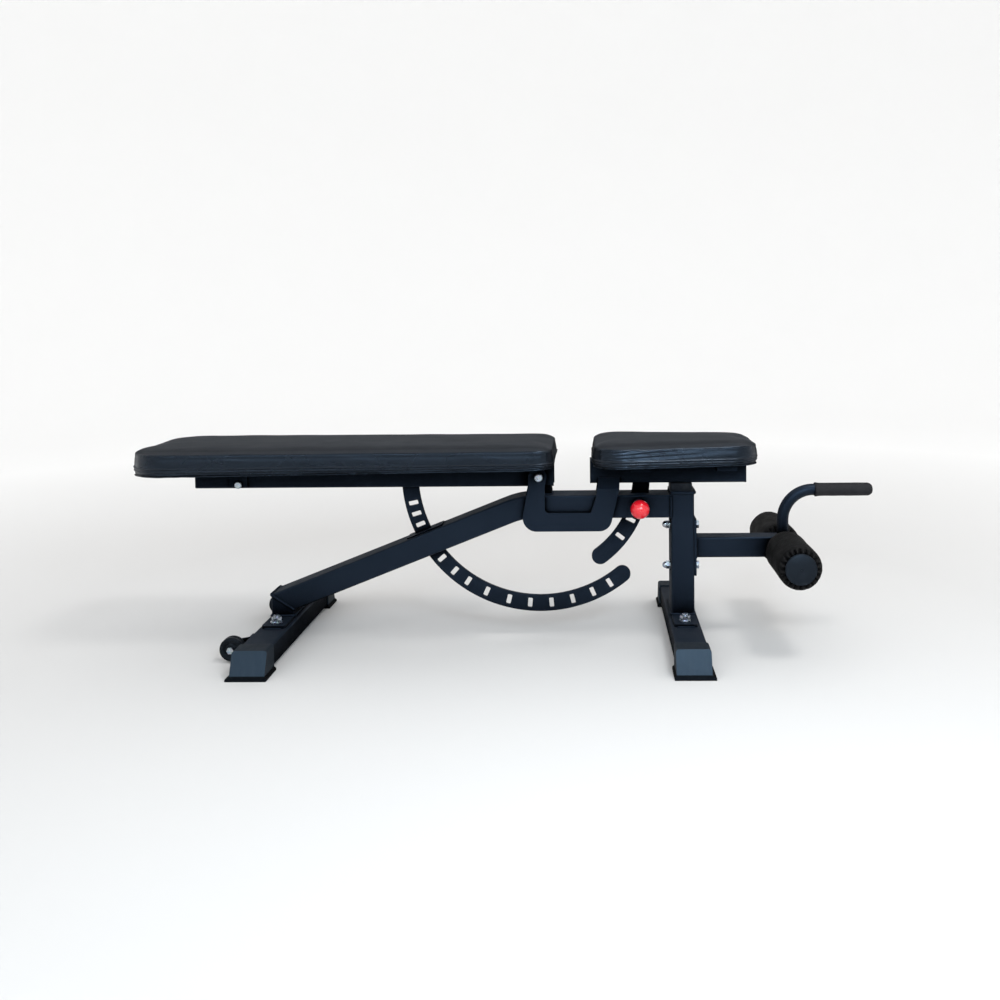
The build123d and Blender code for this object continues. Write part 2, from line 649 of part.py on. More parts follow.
def make_pad(plan, board_plan, bottom, top, crown_r):
    """A closed soft solid with the board let into its underside."""
    pad = along_z(bottom, top, plan)
    pad = fillet(pad.faces().sort_by(Axis.Z)[-1].edges(), crown_r)
    pad = fillet(pad.faces().sort_by(Axis.Z)[0].edges(), 6)
    return pad - along_z(bottom - 1, bottom + BOARD, board_plan)


def back_plan(inset):
    return tapered_outline(
        BACK_PAD_HEAD_X + inset, BACK_PAD_HIP_X - inset,
        BACK_PAD_HEAD_HALF - inset, BACK_PAD_HIP_HALF - inset,
        85 - inset, 40 - inset,
    )


def seat_plan(inset):
    return tapered_outline(
        SEAT_PAD_REAR_X + inset, SEAT_PAD_FRONT_X - inset,
        SEAT_PAD_REAR_HALF - inset, SEAT_PAD_FRONT_HALF - inset,
        60 - inset, 62 - inset,
    )


def make_board(plan, bottom, screw_places):
    board = along_z(bottom, bottom + BOARD, plan)
    for x, y in screw_places:
        board -= along_z(bottom - 1, bottom + BOARD - 2, disc(x, y, BOARD_SCREW_R))
    return board


def make_back_board():
    return make_board(back_plan(12), BACK_PAD_BOTTOM, back_screw_places())


def make_back_pad():
    return make_pad(back_plan(0), back_plan(12), BACK_PAD_BOTTOM, BACK_PAD_TOP, 14)


def make_back_arc():
    """The ladder strap under the back frame: one slot for each back rest position."""
    slots = [270 - (BACK_PIN_ANGLE - stop) for stop in BACK_STOPS]
    arc = strap(BACK_STRAP_R, BACK_STRAP_WIDTH, 180, 270 - BACK_STRAP_END, slots)
    under_tube = BACK_TUBE_TOP - BACK_TUBE
    return arc - block((-REACH, REACH), (-50, 50), (under_tube, REACH))


# ---- seat ------------------------------------------------------------------------------------------------
def make_seat_links():
    """Two U-shaped plates that straddle the beam and carry the seat frame round the pivot."""
    tip_x = PIVOT_X - 3
    outline = rounded(
        [(tip_x - 20, PIVOT_Z), (tip_x - 20, 338), (26, 242), (220, 242), (242, 332), (244, 360),
         (198, 360), (192, 317), (180, 282), (81, 282), (81, 338), (tip_x + 20, PIVOT_Z)],
        [0, 30, 30, 28, 20, 0, 0, 20, 4, 8, 20, 0],
    )
    outline += disc(tip_x, PIVOT_Z, 20)
    outline -= disc(PIVOT_X, PIVOT_Z, PIVOT_BOLT_R + RUNNING)
    outer = LINK_INNER + LINK_PLATE
    whole = along_y(BACK_TUBE / 2, outer, outline)
    arm = block((150, 250), (0, outer + 1), (300, 370))
    flat = (whole - arm) & block((0, 250), (LINK_INNER, outer), (200, 400))
    face = BACK_TUBE / 2
    bend = make_face(Polyline(
        (LINK_INNER, 290), (outer, 290), (outer, 334), (face, 357), (face, 347.5), (LINK_INNER, 331.5),
        close=True,
    ))
    return mirrored(flat + (whole & arm & along_x(150, 250, bend)))


def make_seat_frame():
    middle = SEAT_TUBE_TOP - BACK_TUBE / 2
    section = Pos(0, middle) * ring_outline(BACK_TUBE, BACK_TUBE)
    return along_x(SEAT_TUBE_REAR_X, SEAT_TUBE_FRONT_X, section)


def make_seat_end_plates():
    middle = SEAT_TUBE_TOP - BACK_TUBE / 2
    outline = Pos(0, middle) * RectangleRounded(BACK_TUBE, BACK_TUBE, 2)
    rear = along_x(SEAT_TUBE_REAR_X - 3, SEAT_TUBE_REAR_X, outline)
    return [rear, along_x(SEAT_TUBE_FRONT_X, SEAT_TUBE_FRONT_X + 4, outline)]


def make_seat_brackets():
    """Folded channels across the seat tube; their closed ends hang down under the pad."""
    brackets = []
    for x, half in SEAT_BRACKETS:
        edge = SEAT_BRACKET_WIDTH / 2
        channel = block((x - edge, x + edge), (-half, half), (378, SEAT_PAD_BOTTOM))
        channel -= block((x - edge + 3, x + edge - 3), (-half + 3, half - 3), (377, SEAT_TUBE_TOP))
        channel -= block((x - edge - 1, x + edge + 1), (-BACK_TUBE / 2, BACK_TUBE / 2), (377, SEAT_TUBE_TOP))
        for side in SIDES.values():
            channel -= along_z(377, 400, disc(x, side * SEAT_SCREW_Y, BOARD_SCREW_R))
        brackets.append(channel)
    return brackets


def seat_screw_places():
    return [(x, side * SEAT_SCREW_Y) for x, _ in SEAT_BRACKETS for side in SIDES.values()]


def make_seat_screws():
    return [make_board_screw(x, y, SEAT_TUBE_TOP, SEAT_PAD_BOTTOM) for x, y in seat_screw_places()]


def make_seat_board():
    return make_board(seat_plan(12), SEAT_PAD_BOTTOM, seat_screw_places())


def make_seat_pad():
    return make_pad(seat_plan(0), seat_plan(12), SEAT_PAD_BOTTOM, SEAT_PAD_TOP, 18)


def make_seat_arc():
    slots = [-(SEAT_PIN_ANGLE + stop) for stop in SEAT_STOPS]
    arc = strap(SEAT_STRAP_R, SEAT_STRAP_WIDTH, 0, -SEAT_STRAP_END, slots)
    under_tube = SEAT_TUBE_TOP - BACK_TUBE
    return arc - block((-REACH, REACH), (-50, 50), (under_tube, REACH))


# ---- assembly ----------------------------------------------------------------------------------------------
def make_nodes():
    """Every sub-part by name: one solid, or a list of separate ones."""
    nodes = {
        "main_beam": make_main_beam(),
        "rear_stub": make_rear_stub(),
        "front_post": make_front_post(),
        "post_top_plate": make_post_top_plate(),
        "rest_bumper": make_rest_bumper(),
        "foot_bolts": make_foot_bolts(),
        "foot_nuts": make_foot_nuts(),
        "pivot_lug": make_pivot_lug(),
        "pivot_bolt": make_pivot_bolt(),
        "pivot_nut": make_pivot_nut(),
        "pivot_washers": make_pivot_washers(),
        "pivot_spacers": make_pivot_spacers(),
        "arc_guide_plate": make_arc_guide_plate(),
        "leg_plate": make_leg_plate(),
        "leg_tube": make_leg_tube(),
        "leg_tube_cap": make_leg_tube_cap(),
        "leg_bolts": make_leg_bolts(),
        "leg_nuts": make_leg_nuts(),
        "handle_tube": make_handle_tube(),
        "handle_grip": make_handle_grip(),
        "roller_axle": make_roller_axle(),
        "wheel_brackets": make_wheel_brackets(),
        "wheel_bolts": make_wheel_bolts(),
        "back_frame": make_back_frame(),
        "back_frame_cap": make_back_frame_cap(),
        "back_brackets": make_back_brackets(),
        "back_board": make_back_board(),
        "back_pad": make_back_pad(),
        "back_screws": make_back_screws(),
        "back_arc": make_back_arc(),
        "seat_links": make_seat_links(),
        "seat_frame": make_seat_frame(),
        "seat_end_plates": make_seat_end_plates(),
        "seat_brackets": make_seat_brackets(),
        "seat_board": make_seat_board(),
        "seat_pad": make_seat_pad(),
        "seat_screws": make_seat_screws(),
        "seat_arc": make_seat_arc(),
    }
    for end, x, outward in (("front", POST_X, 1), ("rear", REAR_X, -1)):
        nodes[f"{end}_base_plate"] = make_base_plate(x)
        nodes[f"{end}_foot_tube"] = make_foot_tube(x)
        for name, side in SIDES.items():
            nodes[f"{end}_foot_cap_{name}"] = make_foot_cap(x, outward, side)
    for name, pin, side in (("seat", SEAT_PIN, -1), ("back", BACK_PIN, 1)):
        nodes[f"{name}_pin_housing"] = make_pin_housing(pin, side)
        nodes[f"{name}_pin_plunger"] = make_pin_plunger(pin, side)
        nodes[f"{name}_pin_spring"] = make_pin_spring(pin, side)
        nodes[f"{name}_pin_knob"] = make_pin_knob(pin, side)
    for name, side in SIDES.items():
        nodes[f"roller_core_{name}"] = make_roller_core(side)
        nodes[f"roller_foam_{name}"] = make_roller_foam(side)
        nodes[f"wheel_{name}"] = make_wheel(side)
    return nodes


def solids_of(shape):
    pieces = shape if isinstance(shape, list) else [shape]
    return [solid for piece in pieces for solid in piece.solids()]


def main():
    os.makedirs("parts", exist_ok=True)
    for name, shape in make_nodes().items():
        solids = solids_of(shape)
        node = solids[0] if len(solids) == 1 else Compound(children=solids)
        node.label = name
        export_step(node, f"parts/{name}.step")


main()
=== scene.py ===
"""The looks of the adjustable weight bench: pads, foam, welds, finishes, light and camera."""
import json
import math

import bpy
import numpy as np
from mathutils import Matrix, Vector, noise
from mathutils.bvhtree import BVHTree
from mathutils.geometry import convex_hull_2d
from mathutils.kdtree import KDTree


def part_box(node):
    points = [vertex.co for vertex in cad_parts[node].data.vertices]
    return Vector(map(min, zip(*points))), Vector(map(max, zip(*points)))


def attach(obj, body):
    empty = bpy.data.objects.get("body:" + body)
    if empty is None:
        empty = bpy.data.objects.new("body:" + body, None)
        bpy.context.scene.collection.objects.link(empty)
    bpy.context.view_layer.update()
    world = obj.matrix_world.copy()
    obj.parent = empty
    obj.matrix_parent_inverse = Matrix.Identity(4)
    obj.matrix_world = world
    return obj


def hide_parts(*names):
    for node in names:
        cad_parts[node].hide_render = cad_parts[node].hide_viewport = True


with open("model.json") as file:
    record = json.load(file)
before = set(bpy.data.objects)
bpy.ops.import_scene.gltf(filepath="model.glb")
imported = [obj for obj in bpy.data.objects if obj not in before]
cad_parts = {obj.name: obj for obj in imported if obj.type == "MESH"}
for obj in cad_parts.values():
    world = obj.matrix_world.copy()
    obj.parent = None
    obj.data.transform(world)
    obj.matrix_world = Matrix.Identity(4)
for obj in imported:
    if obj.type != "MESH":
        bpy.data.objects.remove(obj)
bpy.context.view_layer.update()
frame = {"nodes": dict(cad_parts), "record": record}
nodes = frame["nodes"]
scene = bpy.context.scene
UP = Vector((0, 0, 1))

# ---- sizes, in metres ----------------------------------------------------------------------------
PAD_VOXEL = 0.005
PAD_START_INSET = 0.0022    # the pads start this much smaller than their CAD solids
PAD_SWELL = 0.0036          # how far a point of a pad may move while it swells
PAD_TOP_DROP = 0.001        # a pad's flat top starts this far below its CAD top, before it is crowned
SHOULDER = 0.016            # the size of a pad's shoulder, from its side and from its top
CROWN_RISE = 0.0022
CREASE_DEPTH = 0.0036
HEM_HEIGHT = 0.0135         # how far the hem reaches up a pad's side
HEM_WIDTH = 0.026           # how far it is turned under onto the board
HEM_RIDGES = (0.0018, 0.0058, 0.0098)   # their heights
RIDGE_SIZE = 0.0021
PLEAT_DEPTH = 0.0065        # on the rollers' ends
ROUND_TUBE_R = 0.0125       # the handle's tube and the rollers' axle
BEAM_HEIGHT = 0.050         # where the beam meets the post
BEAM_CORNER = 0.004

# ---- counts and shares ---------------------------------------------------------------------------
SQUARENESS = 4.6            # of a pad's shoulder; 2 leaves it round
SWELL_PRESSURE = 4.0        # inside a pad while it swells
SWELL_STEPS = 20            # frames of Cloth
SWELL_ROUNDS = 14           # how often a pad's moves are averaged
STAPLE_STEP = 16            # points of a pad's outline from one staple to the next
PLEATS = 20                 # on each end of a roller


# ---- materials -----------------------------------------------------------------------------------
class Finish:
    """A material, with short calls for the nodes that make it up."""

    def __init__(self, name, **sockets):
        self.material = bpy.data.materials.new(name)
        self.material.use_nodes = True
        self.tree = self.material.node_tree
        self.bsdf = self.tree.nodes["Principled BSDF"]
        self.place = self.node("ShaderNodeTexCoord").outputs["Object"]
        for socket, value in sockets.items():
            self.bsdf.inputs[socket.replace("_", " ")].default_value = value

    def node(self, kind, inputs=None, **attributes):
        made = self.tree.nodes.new(kind)
        for name, value in attributes.items():
            setattr(made, name, value)
        for socket, value in (inputs or {}).items():
            self.feed(made.inputs[socket], value)
        return made

    def feed(self, socket, value):
        if isinstance(value, bpy.types.NodeSocket):
            self.tree.links.new(value, socket)
        else:
            socket.default_value = value

    def stretched(self, scale):
        """The object's coordinates with a scale for each axis."""
        return self.node("ShaderNodeMapping", {"Vector": self.place, "Scale": scale}).outputs["Vector"]

    def noise(self, scale, detail=3.0, roughness=0.5, place=None):
        made = self.node("ShaderNodeTexNoise", {"Vector": place or self.place, "Scale": scale})
        made.inputs["Detail"].default_value = detail
        made.inputs["Roughness"].default_value = roughness
        return made.outputs["Fac"]

    def cells(self, scale, feature="F1", place=None, output="Distance"):
        sockets = {"Vector": place or self.place, "Scale": scale}
        return self.node("ShaderNodeTexVoronoi", sockets, feature=feature).outputs[output]

    def ranged(self, value, low, high, to_low, to_high):
        """A value carried from one range to another, and kept inside it."""
        sockets = {"Value": value, "From Min": low, "From Max": high, "To Min": to_low, "To Max": to_high}
        return self.node("ShaderNodeMapRange", sockets).outputs["Result"]

    def mixed(self, share, first, second):
        made = self.node("ShaderNodeMix", data_type="RGBA")
        self.feed(made.inputs["Factor"], share)
        self.feed(made.inputs["A"], first)
        self.feed(made.inputs["B"], second)
        return made.outputs["Result"]

    def sum(self, first, second, operation="ADD"):
        return self.node("ShaderNodeMath", {0: first, 1: second}, operation=operation).outputs["Value"]

    def bump(self, height, strength, distance, normal=None):
        sockets = {"Height": height, "Strength": strength, "Distance": distance}
        made = self.node("ShaderNodeBump", sockets)
        if normal is not None:
            self.feed(made.inputs["Normal"], normal)
        return made.outputs["Normal"]

    def edges(self, radius):
        """(a normal that rounds the edges, 0 on faces to 1 on sharp edges)."""
        soft = self.node("ShaderNodeBevel", {"Radius": radius}, samples=4).outputs["Normal"]
        flat = self.node("ShaderNodeNewGeometry").outputs["Normal"]
        dot = self.node("ShaderNodeVectorMath", {0: soft, 1: flat}, operation="DOT_PRODUCT").outputs["Value"]
        return soft, self.ranged(dot, 0.985, 0.80, 0.0, 1.0)

    def openness(self, distance, closed, clear):
        """Ambient occlusion as a mask for painted shade: 0 in recesses and under overhangs, 1 in the open."""
        shade = self.node("ShaderNodeAmbientOcclusion", {"Distance": distance}, samples=6).outputs["AO"]
        return self.ranged(shade, closed, clear, 0.0, 1.0)

    def endward(self):
        """0 on faces that look across the bench, 1 on those that look along it or up."""
        normal = self.node("ShaderNodeTexCoord").outputs["Normal"]
        across = self.node("ShaderNodeSeparateXYZ", {"Vector": normal}).outputs["Y"]
        return self.ranged(self.sum(across, 0.0, "ABSOLUTE"), 0.25, 0.70, 1.0, 0.0)

    def upward(self, low=0.35, high=0.95):
        """1 on faces that look up, 0 on faces that look sideways or down."""
        normal = self.node("ShaderNodeTexCoord").outputs["Normal"]
        height = self.node("ShaderNodeSeparateXYZ", {"Vector": normal}).outputs["Z"]
        return self.ranged(height, low, high, 0.0, 1.0)

    def set(self, socket, value):
        self.feed(self.bsdf.inputs[socket], value)


def rgb(red, green, blue):
    return (red, green, blue, 1.0)


def make_frame_paint():
    """Black powder coat: orange peel, thin dust, a few rubbed edges, and painted shade in its recesses and
    under overhangs, which darkens its colour to near black and dulls its shine.
    """
    f = Finish("powder_coat", Metallic=0.0, Specular_Tint=rgb(0.42, 0.64, 1.0))
    soft, edge = f.edges(0.0010)
    # painted shade: ambient occlusion darkens the colour and the shine in recesses and under the pads; faces
    # that look up are left out of it
    outside_painted_shade = f.sum(f.openness(0.15, 0.62, 0.86), f.upward(0.3, 0.58), "MAXIMUM")
    patches = f.noise(7.0, 4.0)
    rub = f.ranged(f.sum(edge, f.noise(55.0, 5.0, 0.65), "MULTIPLY"), 0.52, 0.66, 0.0, 0.8)
    share = f.ranged(patches, 0.35, 0.7, 0.0, 1.0)
    tint = f.mixed(share, rgb(0.0040, 0.0062, 0.0105), rgb(0.0060, 0.0088, 0.0140))
    specks = f.ranged(f.noise(420.0, 2.0), 0.70, 0.78, 0.0, 0.35)
    dusty = f.mixed(specks, tint, rgb(0.026, 0.030, 0.037))
    lit = f.mixed(rub, dusty, rgb(0.085, 0.088, 0.098))
    # painted shade: the near-black colour is painted where the mask is 0
    f.set("Base Color", f.mixed(outside_painted_shade, rgb(0.0004, 0.0004, 0.0005), lit))
    f.set("Specular IOR Level", f.ranged(outside_painted_shade, 0.0, 1.0, 0.0, 0.24))
    uneven = f.ranged(f.noise(24.0, 4.0), 0.3, 0.7, 0.32, 0.44)
    f.set("Roughness", f.sum(uneven, f.sum(f.endward(), 0.42, "MULTIPLY")))
    peel = f.sum(f.noise(620.0, 2.0), f.noise(1700.0, 1.0), "ADD")
    f.set("Normal", f.bump(peel, 0.20, 0.00022, soft))
    return f.material


def make_vinyl():
    """Black upholstery vinyl: fine pebbled grain and faint creases, glossiest on its stretched sides, with
    its upward faces painted a lighter warm grey as painted light where the key falls on them.
    """
    f = Finish("upholstery_vinyl", Specular_Tint=rgb(0.55, 0.74, 1.0))
    cell = f.cells(760.0, "SMOOTH_F1")
    grain = f.sum(cell, f.noise(2100.0, 2.0), "ADD")
    creases = f.noise(22.0, 2.0, 0.5, f.stretched((0.8, 1.6, 1.2)))
    patches = f.ranged(f.noise(9.0, 3.0), 0.3, 0.7, 0.0, 1.0)
    cool = f.mixed(patches, rgb(0.0012, 0.0018, 0.0032), rgb(0.0022, 0.0031, 0.0050))
    # painted light: faces that look up get a lighter, warmer colour than the cool near-black sides
    flat = f.upward(0.45, 0.97)
    tint = f.mixed(flat, cool, rgb(0.0078, 0.0062, 0.0048))
    f.set("Base Color", f.mixed(f.ranged(cell, 0.25, 0.65, 0.0, 0.5), tint, rgb(0.002, 0.002, 0.003)))
    ends = f.sum(f.endward(), f.sum(1.0, flat, "SUBTRACT"), "MULTIPLY")
    f.set("Specular IOR Level", f.ranged(ends, 0.1, 1.0, 0.38, 0.06))
    handled = f.ranged(f.sum(creases, f.noise(5.0, 2.0), "ADD"), 0.7, 1.3, 0.23, 0.31)
    f.set("Roughness", f.sum(handled, f.sum(f.endward(), 0.60, "MULTIPLY")))
    shallow = f.bump(creases, 0.06, 0.0010)
    f.set("Normal", f.bump(grain, 0.20, 0.00025, shallow))
    return f.material


def make_zinc():
    """Dulled zinc plate with a faint spangle and fine handling marks."""
    f = Finish("zinc_plate", Metallic=1.0)
    soft, _ = f.edges(0.0006)
    spangle = f.cells(340.0, output="Color")
    share = f.ranged(f.noise(120.0, 3.0), 0.3, 0.7, 0.0, 1.0)
    tint = f.mixed(share, rgb(0.25, 0.30, 0.36), rgb(0.46, 0.51, 0.57))
    f.set("Base Color", f.mixed(0.10, tint, spangle))
    f.set("Roughness", f.ranged(f.noise(300.0, 4.0), 0.3, 0.7, 0.18, 0.36))
    f.set("Normal", f.bump(f.noise(900.0, 3.0), 0.12, 0.0002, soft))
    return f.material


def make_spring_steel():
    f = Finish("drawn_wire", Metallic=1.0)
    f.set("Base Color", f.mixed(f.noise(260.0), rgb(0.30, 0.31, 0.33), rgb(0.50, 0.51, 0.53)))
    f.set("Roughness", f.ranged(f.noise(700.0), 0.3, 0.7, 0.25, 0.45))
    return f.material


def make_rubber(name, dark, light, low_rough, high_rough):
    """Moulded rubber or closed foam skin, with a chalky bloom."""
    f = Finish(name, Specular_IOR_Level=0.20, Specular_Tint=rgb(0.6, 0.78, 1.0))
    bloom = f.ranged(f.noise(45.0, 5.0, 0.65), 0.45, 0.75, 0.0, 1.0)
    f.set("Base Color", f.mixed(bloom, dark, light))
    f.set("Roughness", f.ranged(f.noise(80.0, 3.0), 0.3, 0.7, low_rough, high_rough))
    f.set("Normal", f.bump(f.noise(1300.0, 3.0), 0.25, 0.0003))
    return f.material


def make_foam(name, cell_scale, tint, sheen, rough):
    """Foam under a soft skin: round pores over a dark body."""
    f = Finish(name, Specular_IOR_Level=sheen)
    pores = f.cells(cell_scale, "SMOOTH_F1")
    shade = f.ranged(pores, 0.15, 0.6, 0.0, 1.0)
    lighter = tuple(2.2 * c for c in tint[:3]) + (1.0,)
    f.set("Base Color", f.mixed(shade, tint, lighter))
    uneven = f.ranged(f.noise(60.0), 0.3, 0.7, rough - 0.08, rough + 0.08)
    f.set("Roughness", f.sum(uneven, f.sum(f.endward(), 0.40, "MULTIPLY")))
    f.set("Normal", f.bump(pores, 0.55, 0.0006, f.bump(f.noise(35.0, 4.0), 0.3, 0.0015)))
    return f.material


def make_plastic(name, dark, light, rough):
    """Moulded plastic with a spark-eroded texture and lighter rubbed edges."""
    f = Finish(name, Specular_IOR_Level=0.26, Specular_Tint=rgb(0.55, 0.75, 1.0))
    soft, edge = f.edges(0.0012)
    scuffs = f.ranged(f.noise(60.0, 6.0, 0.7, f.stretched((1.0, 1.0, 3.0))), 0.58, 0.72, 0.0, 0.7)
    wear_and_painted_light = f.sum(scuffs, f.sum(edge, 0.35, "MULTIPLY"), "MAXIMUM")
    f.set("Base Color", f.mixed(wear_and_painted_light, dark, light))
    uneven = f.ranged(f.noise(30.0, 3.0), 0.3, 0.7, rough - 0.06, rough + 0.08)
    f.set("Roughness", f.sum(uneven, f.sum(f.endward(), 0.36, "MULTIPLY")))
    f.set("Normal", f.bump(f.cells(1500.0), 0.18, 0.0002, soft))
    return f.material


def make_foot_plastic():
    """Satin moulded sleeve: its slanted end faces are painted a lighter blue-grey with brushed streaks,
    painted light where the front lamps fall on them, and its base is a black tread.
    """
    f = Finish("foot_plastic", Specular_Tint=rgb(0.55, 0.78, 1.0))
    soft, edge = f.edges(0.0012)
    height = f.node("ShaderNodeSeparateXYZ", {"Vector": f.place}).outputs["Z"]
    above_tread = f.ranged(height, 0.0090, 0.0102, 0.0, 1.0)
    end_face = f.sum(f.sum(1.0, f.endward(), "SUBTRACT"), above_tread, "MULTIPLY")
    brushed = f.ranged(f.noise(40.0, 5.0, 0.6, f.stretched((2.2, 1.0, 0.35))), 0.35, 0.65, 0.0, 1.0)
    # painted light: the end faces that look across the bench get a lighter blue-grey than the body
    wear_and_painted_light = f.mixed(brushed, rgb(0.0070, 0.0118, 0.0200), rgb(0.0120, 0.0185, 0.0280))
    body = f.mixed(f.noise(20.0), rgb(0.0040, 0.0056, 0.0085), rgb(0.0060, 0.0080, 0.0115))
    body = f.mixed(above_tread, rgb(0.0020, 0.0020, 0.0024), body)
    faces = f.mixed(end_face, body, wear_and_painted_light)
    rub = f.sum(edge, f.sum(above_tread, 0.5, "MULTIPLY"), "MULTIPLY")
    f.set("Base Color", f.mixed(rub, faces, rgb(0.060, 0.075, 0.095)))
    f.set("Specular IOR Level", f.ranged(above_tread, 0.0, 1.0, 0.04, 0.30))
    f.set("Roughness", f.sum(f.ranged(brushed, 0.0, 1.0, 0.30, 0.38), f.sum(f.endward(), 0.45, "MULTIPLY")))
    f.set("Normal", f.bump(f.cells(1500.0), 0.12, 0.0002, soft))
    return f.material


def make_board():
    """Plywood stained black, with its grain along the bench."""
    f = Finish("black_plywood", Specular_IOR_Level=0.3)
    grain = f.noise(60.0, 6.0, 0.6, f.stretched((0.12, 1.0, 1.0)))
    share = f.ranged(grain, 0.35, 0.65, 0.0, 1.0)
    f.set("Base Color", f.mixed(share, rgb(0.007, 0.0065, 0.006), rgb(0.024, 0.020, 0.017)))
    f.set("Roughness", f.ranged(grain, 0.3, 0.7, 0.62, 0.80))
    f.set("Normal", f.bump(grain, 0.4, 0.0006))
    return f.material


def make_nylon():
    f = Finish("nylon", Subsurface_Weight=0.15, Specular_IOR_Level=0.5)
    f.set("Base Color", f.mixed(f.noise(90.0), rgb(0.62, 0.61, 0.56), rgb(0.74, 0.73, 0.68)))
    f.set("Roughness", f.ranged(f.noise(200.0), 0.3, 0.7, 0.38, 0.52))
    return f.material


def make_knob_red():
    """Polished red ball: deep colour under a clear gloss, with hair scratches."""
    f = Finish("polished_red", Specular_IOR_Level=0.6, Coat_Weight=0.45, Coat_Roughness=0.10)
    f.set("Base Color", f.mixed(f.noise(45.0, 3.0), rgb(0.64, 0.006, 0.016), rgb(0.74, 0.012, 0.024)))
    scratches = f.noise(500.0, 4.0, 0.6, f.stretched((0.1, 1.0, 2.0)))
    f.set("Roughness", f.ranged(scratches, 0.4, 0.7, 0.16, 0.34))
    f.set("Normal", f.bump(scratches, 0.05, 0.0001))
    return f.material


def make_backdrop():
    """Seamless paper, a touch uneven: painted greyer under the bench, where the key light falls strongest, so
    that the floor looks evenly lit, and whiter towards the wall, which glows a little with painted light.
    """
    f = Finish("studio_paper", Specular_IOR_Level=0.1)
    away = f.node("ShaderNodeVectorMath", {0: f.place}, operation="LENGTH").outputs["Value"]
    # painted shade: the paper near the bench is greyer to cancel the brighter pool of the key light
    wear_and_painted_light = f.mixed(f.noise(1.3, 2.0), rgb(0.654, 0.646, 0.636), rgb(0.666, 0.658, 0.648))
    paper_far_off = f.mixed(f.noise(1.3, 2.0), rgb(0.922, 0.918, 0.910), rgb(0.932, 0.928, 0.920))
    f.set("Base Color", f.mixed(f.ranged(away, 1.2, 3.4, 0.0, 1.0), wear_and_painted_light, paper_far_off))
    f.set("Roughness", f.ranged(f.noise(3.0), 0.3, 0.7, 0.85, 0.95))
    f.bsdf.inputs["Emission Color"].default_value = rgb(1.0, 0.995, 0.985)
    # painted light: the wall emits a little though it is no lamp
    f.set("Emission Strength", f.ranged(away, 1.5, 3.2, 0.0, 0.018))
    return f.material


FINISHES = {
    "frame_paint": make_frame_paint(),
    "zinc": make_zinc(),
    "spring_steel": make_spring_steel(),
    "bumper_rubber": make_rubber(
        "bumper_rubber", rgb(0.006, 0.006, 0.007), rgb(0.018, 0.018, 0.019), 0.60, 0.78),
    "nylon": make_nylon(),
    "plastic": make_plastic(
        "black_plastic", rgb(0.0035, 0.0042, 0.0058), rgb(0.012, 0.014, 0.018), 0.36),
    "foot_plastic": make_foot_plastic(),
    "grip_foam": make_foam("grip_foam", 1500.0, rgb(0.0085, 0.0085, 0.0098), 0.14, 0.55),
    "board": make_board(),
    "vinyl": make_vinyl(),
    "knob_red": make_knob_red(),
    "wheel_rubber": make_rubber(
        "wheel_rubber", rgb(0.0025, 0.0028, 0.0032), rgb(0.0090, 0.0100, 0.0120), 0.55, 0.72),
    "roller_foam": make_foam("roller_foam", 1100.0, rgb(0.0006, 0.0006, 0.0008), 0.12, 0.46),
}


def finish_cad_nodes():
    """Gives each CAD node its slot's material."""
    for row in frame["record"]["subparts"]:
        node = nodes[row["node"]]
        node.data.materials.clear()
        node.data.materials.append(FINISHES[row["material_slot"]])


# ---- mesh helpers --------------------------------------------------------------------------------
def new_piece(name, points, faces, slot, body, smooth=True):
    """A mesh piece, finished and riding on its body."""
    mesh = bpy.data.meshes.new(name)
    mesh.from_pydata([tuple(p) for p in points], [], faces)
    mesh.validate()
    mesh.update()
    if smooth:
        mesh.shade_smooth()
    piece = bpy.data.objects.new(name, mesh)
    scene.collection.objects.link(piece)
    dress(piece, slot, body)
    return piece


def dress(piece, slot, body):
    """Gives a piece its slot's material and hangs it on its body's empty."""
    piece.data.materials.clear()
    piece.data.materials.append(FINISHES[slot])
    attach(piece, body)


def grid_faces(rows, columns, close_rows=False, close_columns=True):
    """Quads over rows of points, with either direction closed into a ring."""
    faces = []
    for r in range(rows if close_rows else rows - 1):
        for c in range(columns if close_columns else columns - 1):
            a, b = r * columns + c, r * columns + (c + 1) % columns
            below = ((r + 1) % rows) * columns
            faces.append((a, b, below + (c + 1) % columns, below + c))
    return faces


def lathe(name, profile, centre, slot, body, side=1, segments=96, shape=None):
    """A solid turned about an axis along Y. profile holds (distance along Y from the centre, radius) pairs
    from one pole to the other; shape(angle, y, r) may return a changed (y, r)."""
    points = []
    for y, r in profile:
        for k in range(segments):
            angle = 2 * math.pi * k / segments
            dy, radius = shape(angle, y, r) if shape else (y, r)
            offset = Vector((radius * math.cos(angle), side * dy, radius * math.sin(angle)))
            points.append(centre + offset)
    faces = grid_faces(len(profile), segments)
    faces.append(tuple(range(segments)))
    last = (len(profile) - 1) * segments
    faces.append(tuple(last + k for k in reversed(range(segments))))
    if side > 0:
        faces = [tuple(reversed(face)) for face in faces]
    return new_piece(name, points, faces, slot, body)


def arc_points(centre, radius, start, end, count):
    """Points of an arc in a profile's plane; angles in degrees."""
    angles = [math.radians(start + (end - start) * k / (count - 1)) for k in range(count)]
    return [(centre[0] + radius * math.cos(a), centre[1] + radius * math.sin(a)) for a in angles]


def resampled(line, spacing, closed):
    """(points evenly spaced along a polyline, its length)."""
    line = [Vector(p) for p in line]
    if closed:
        line.append(line[0])
    lengths = [(b - a).length for a, b in zip(line, line[1:])]
    total = sum(lengths)
    count = max(4, round(total / spacing))
    points, index, passed = [], 0, 0.0
    for k in range(count if closed else count + 1):
        goal = total * k / count
        while index < len(lengths) - 1 and passed + lengths[index] < goal:
            passed += lengths[index]
            index += 1
        points.append(line[index].lerp(line[index + 1], (goal - passed) / lengths[index]))
    return points, total


def box_of(name):
    """(lowest corner, highest corner, centre) of a CAD node."""
    low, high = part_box(name)
    return low, high, (low + high) / 2


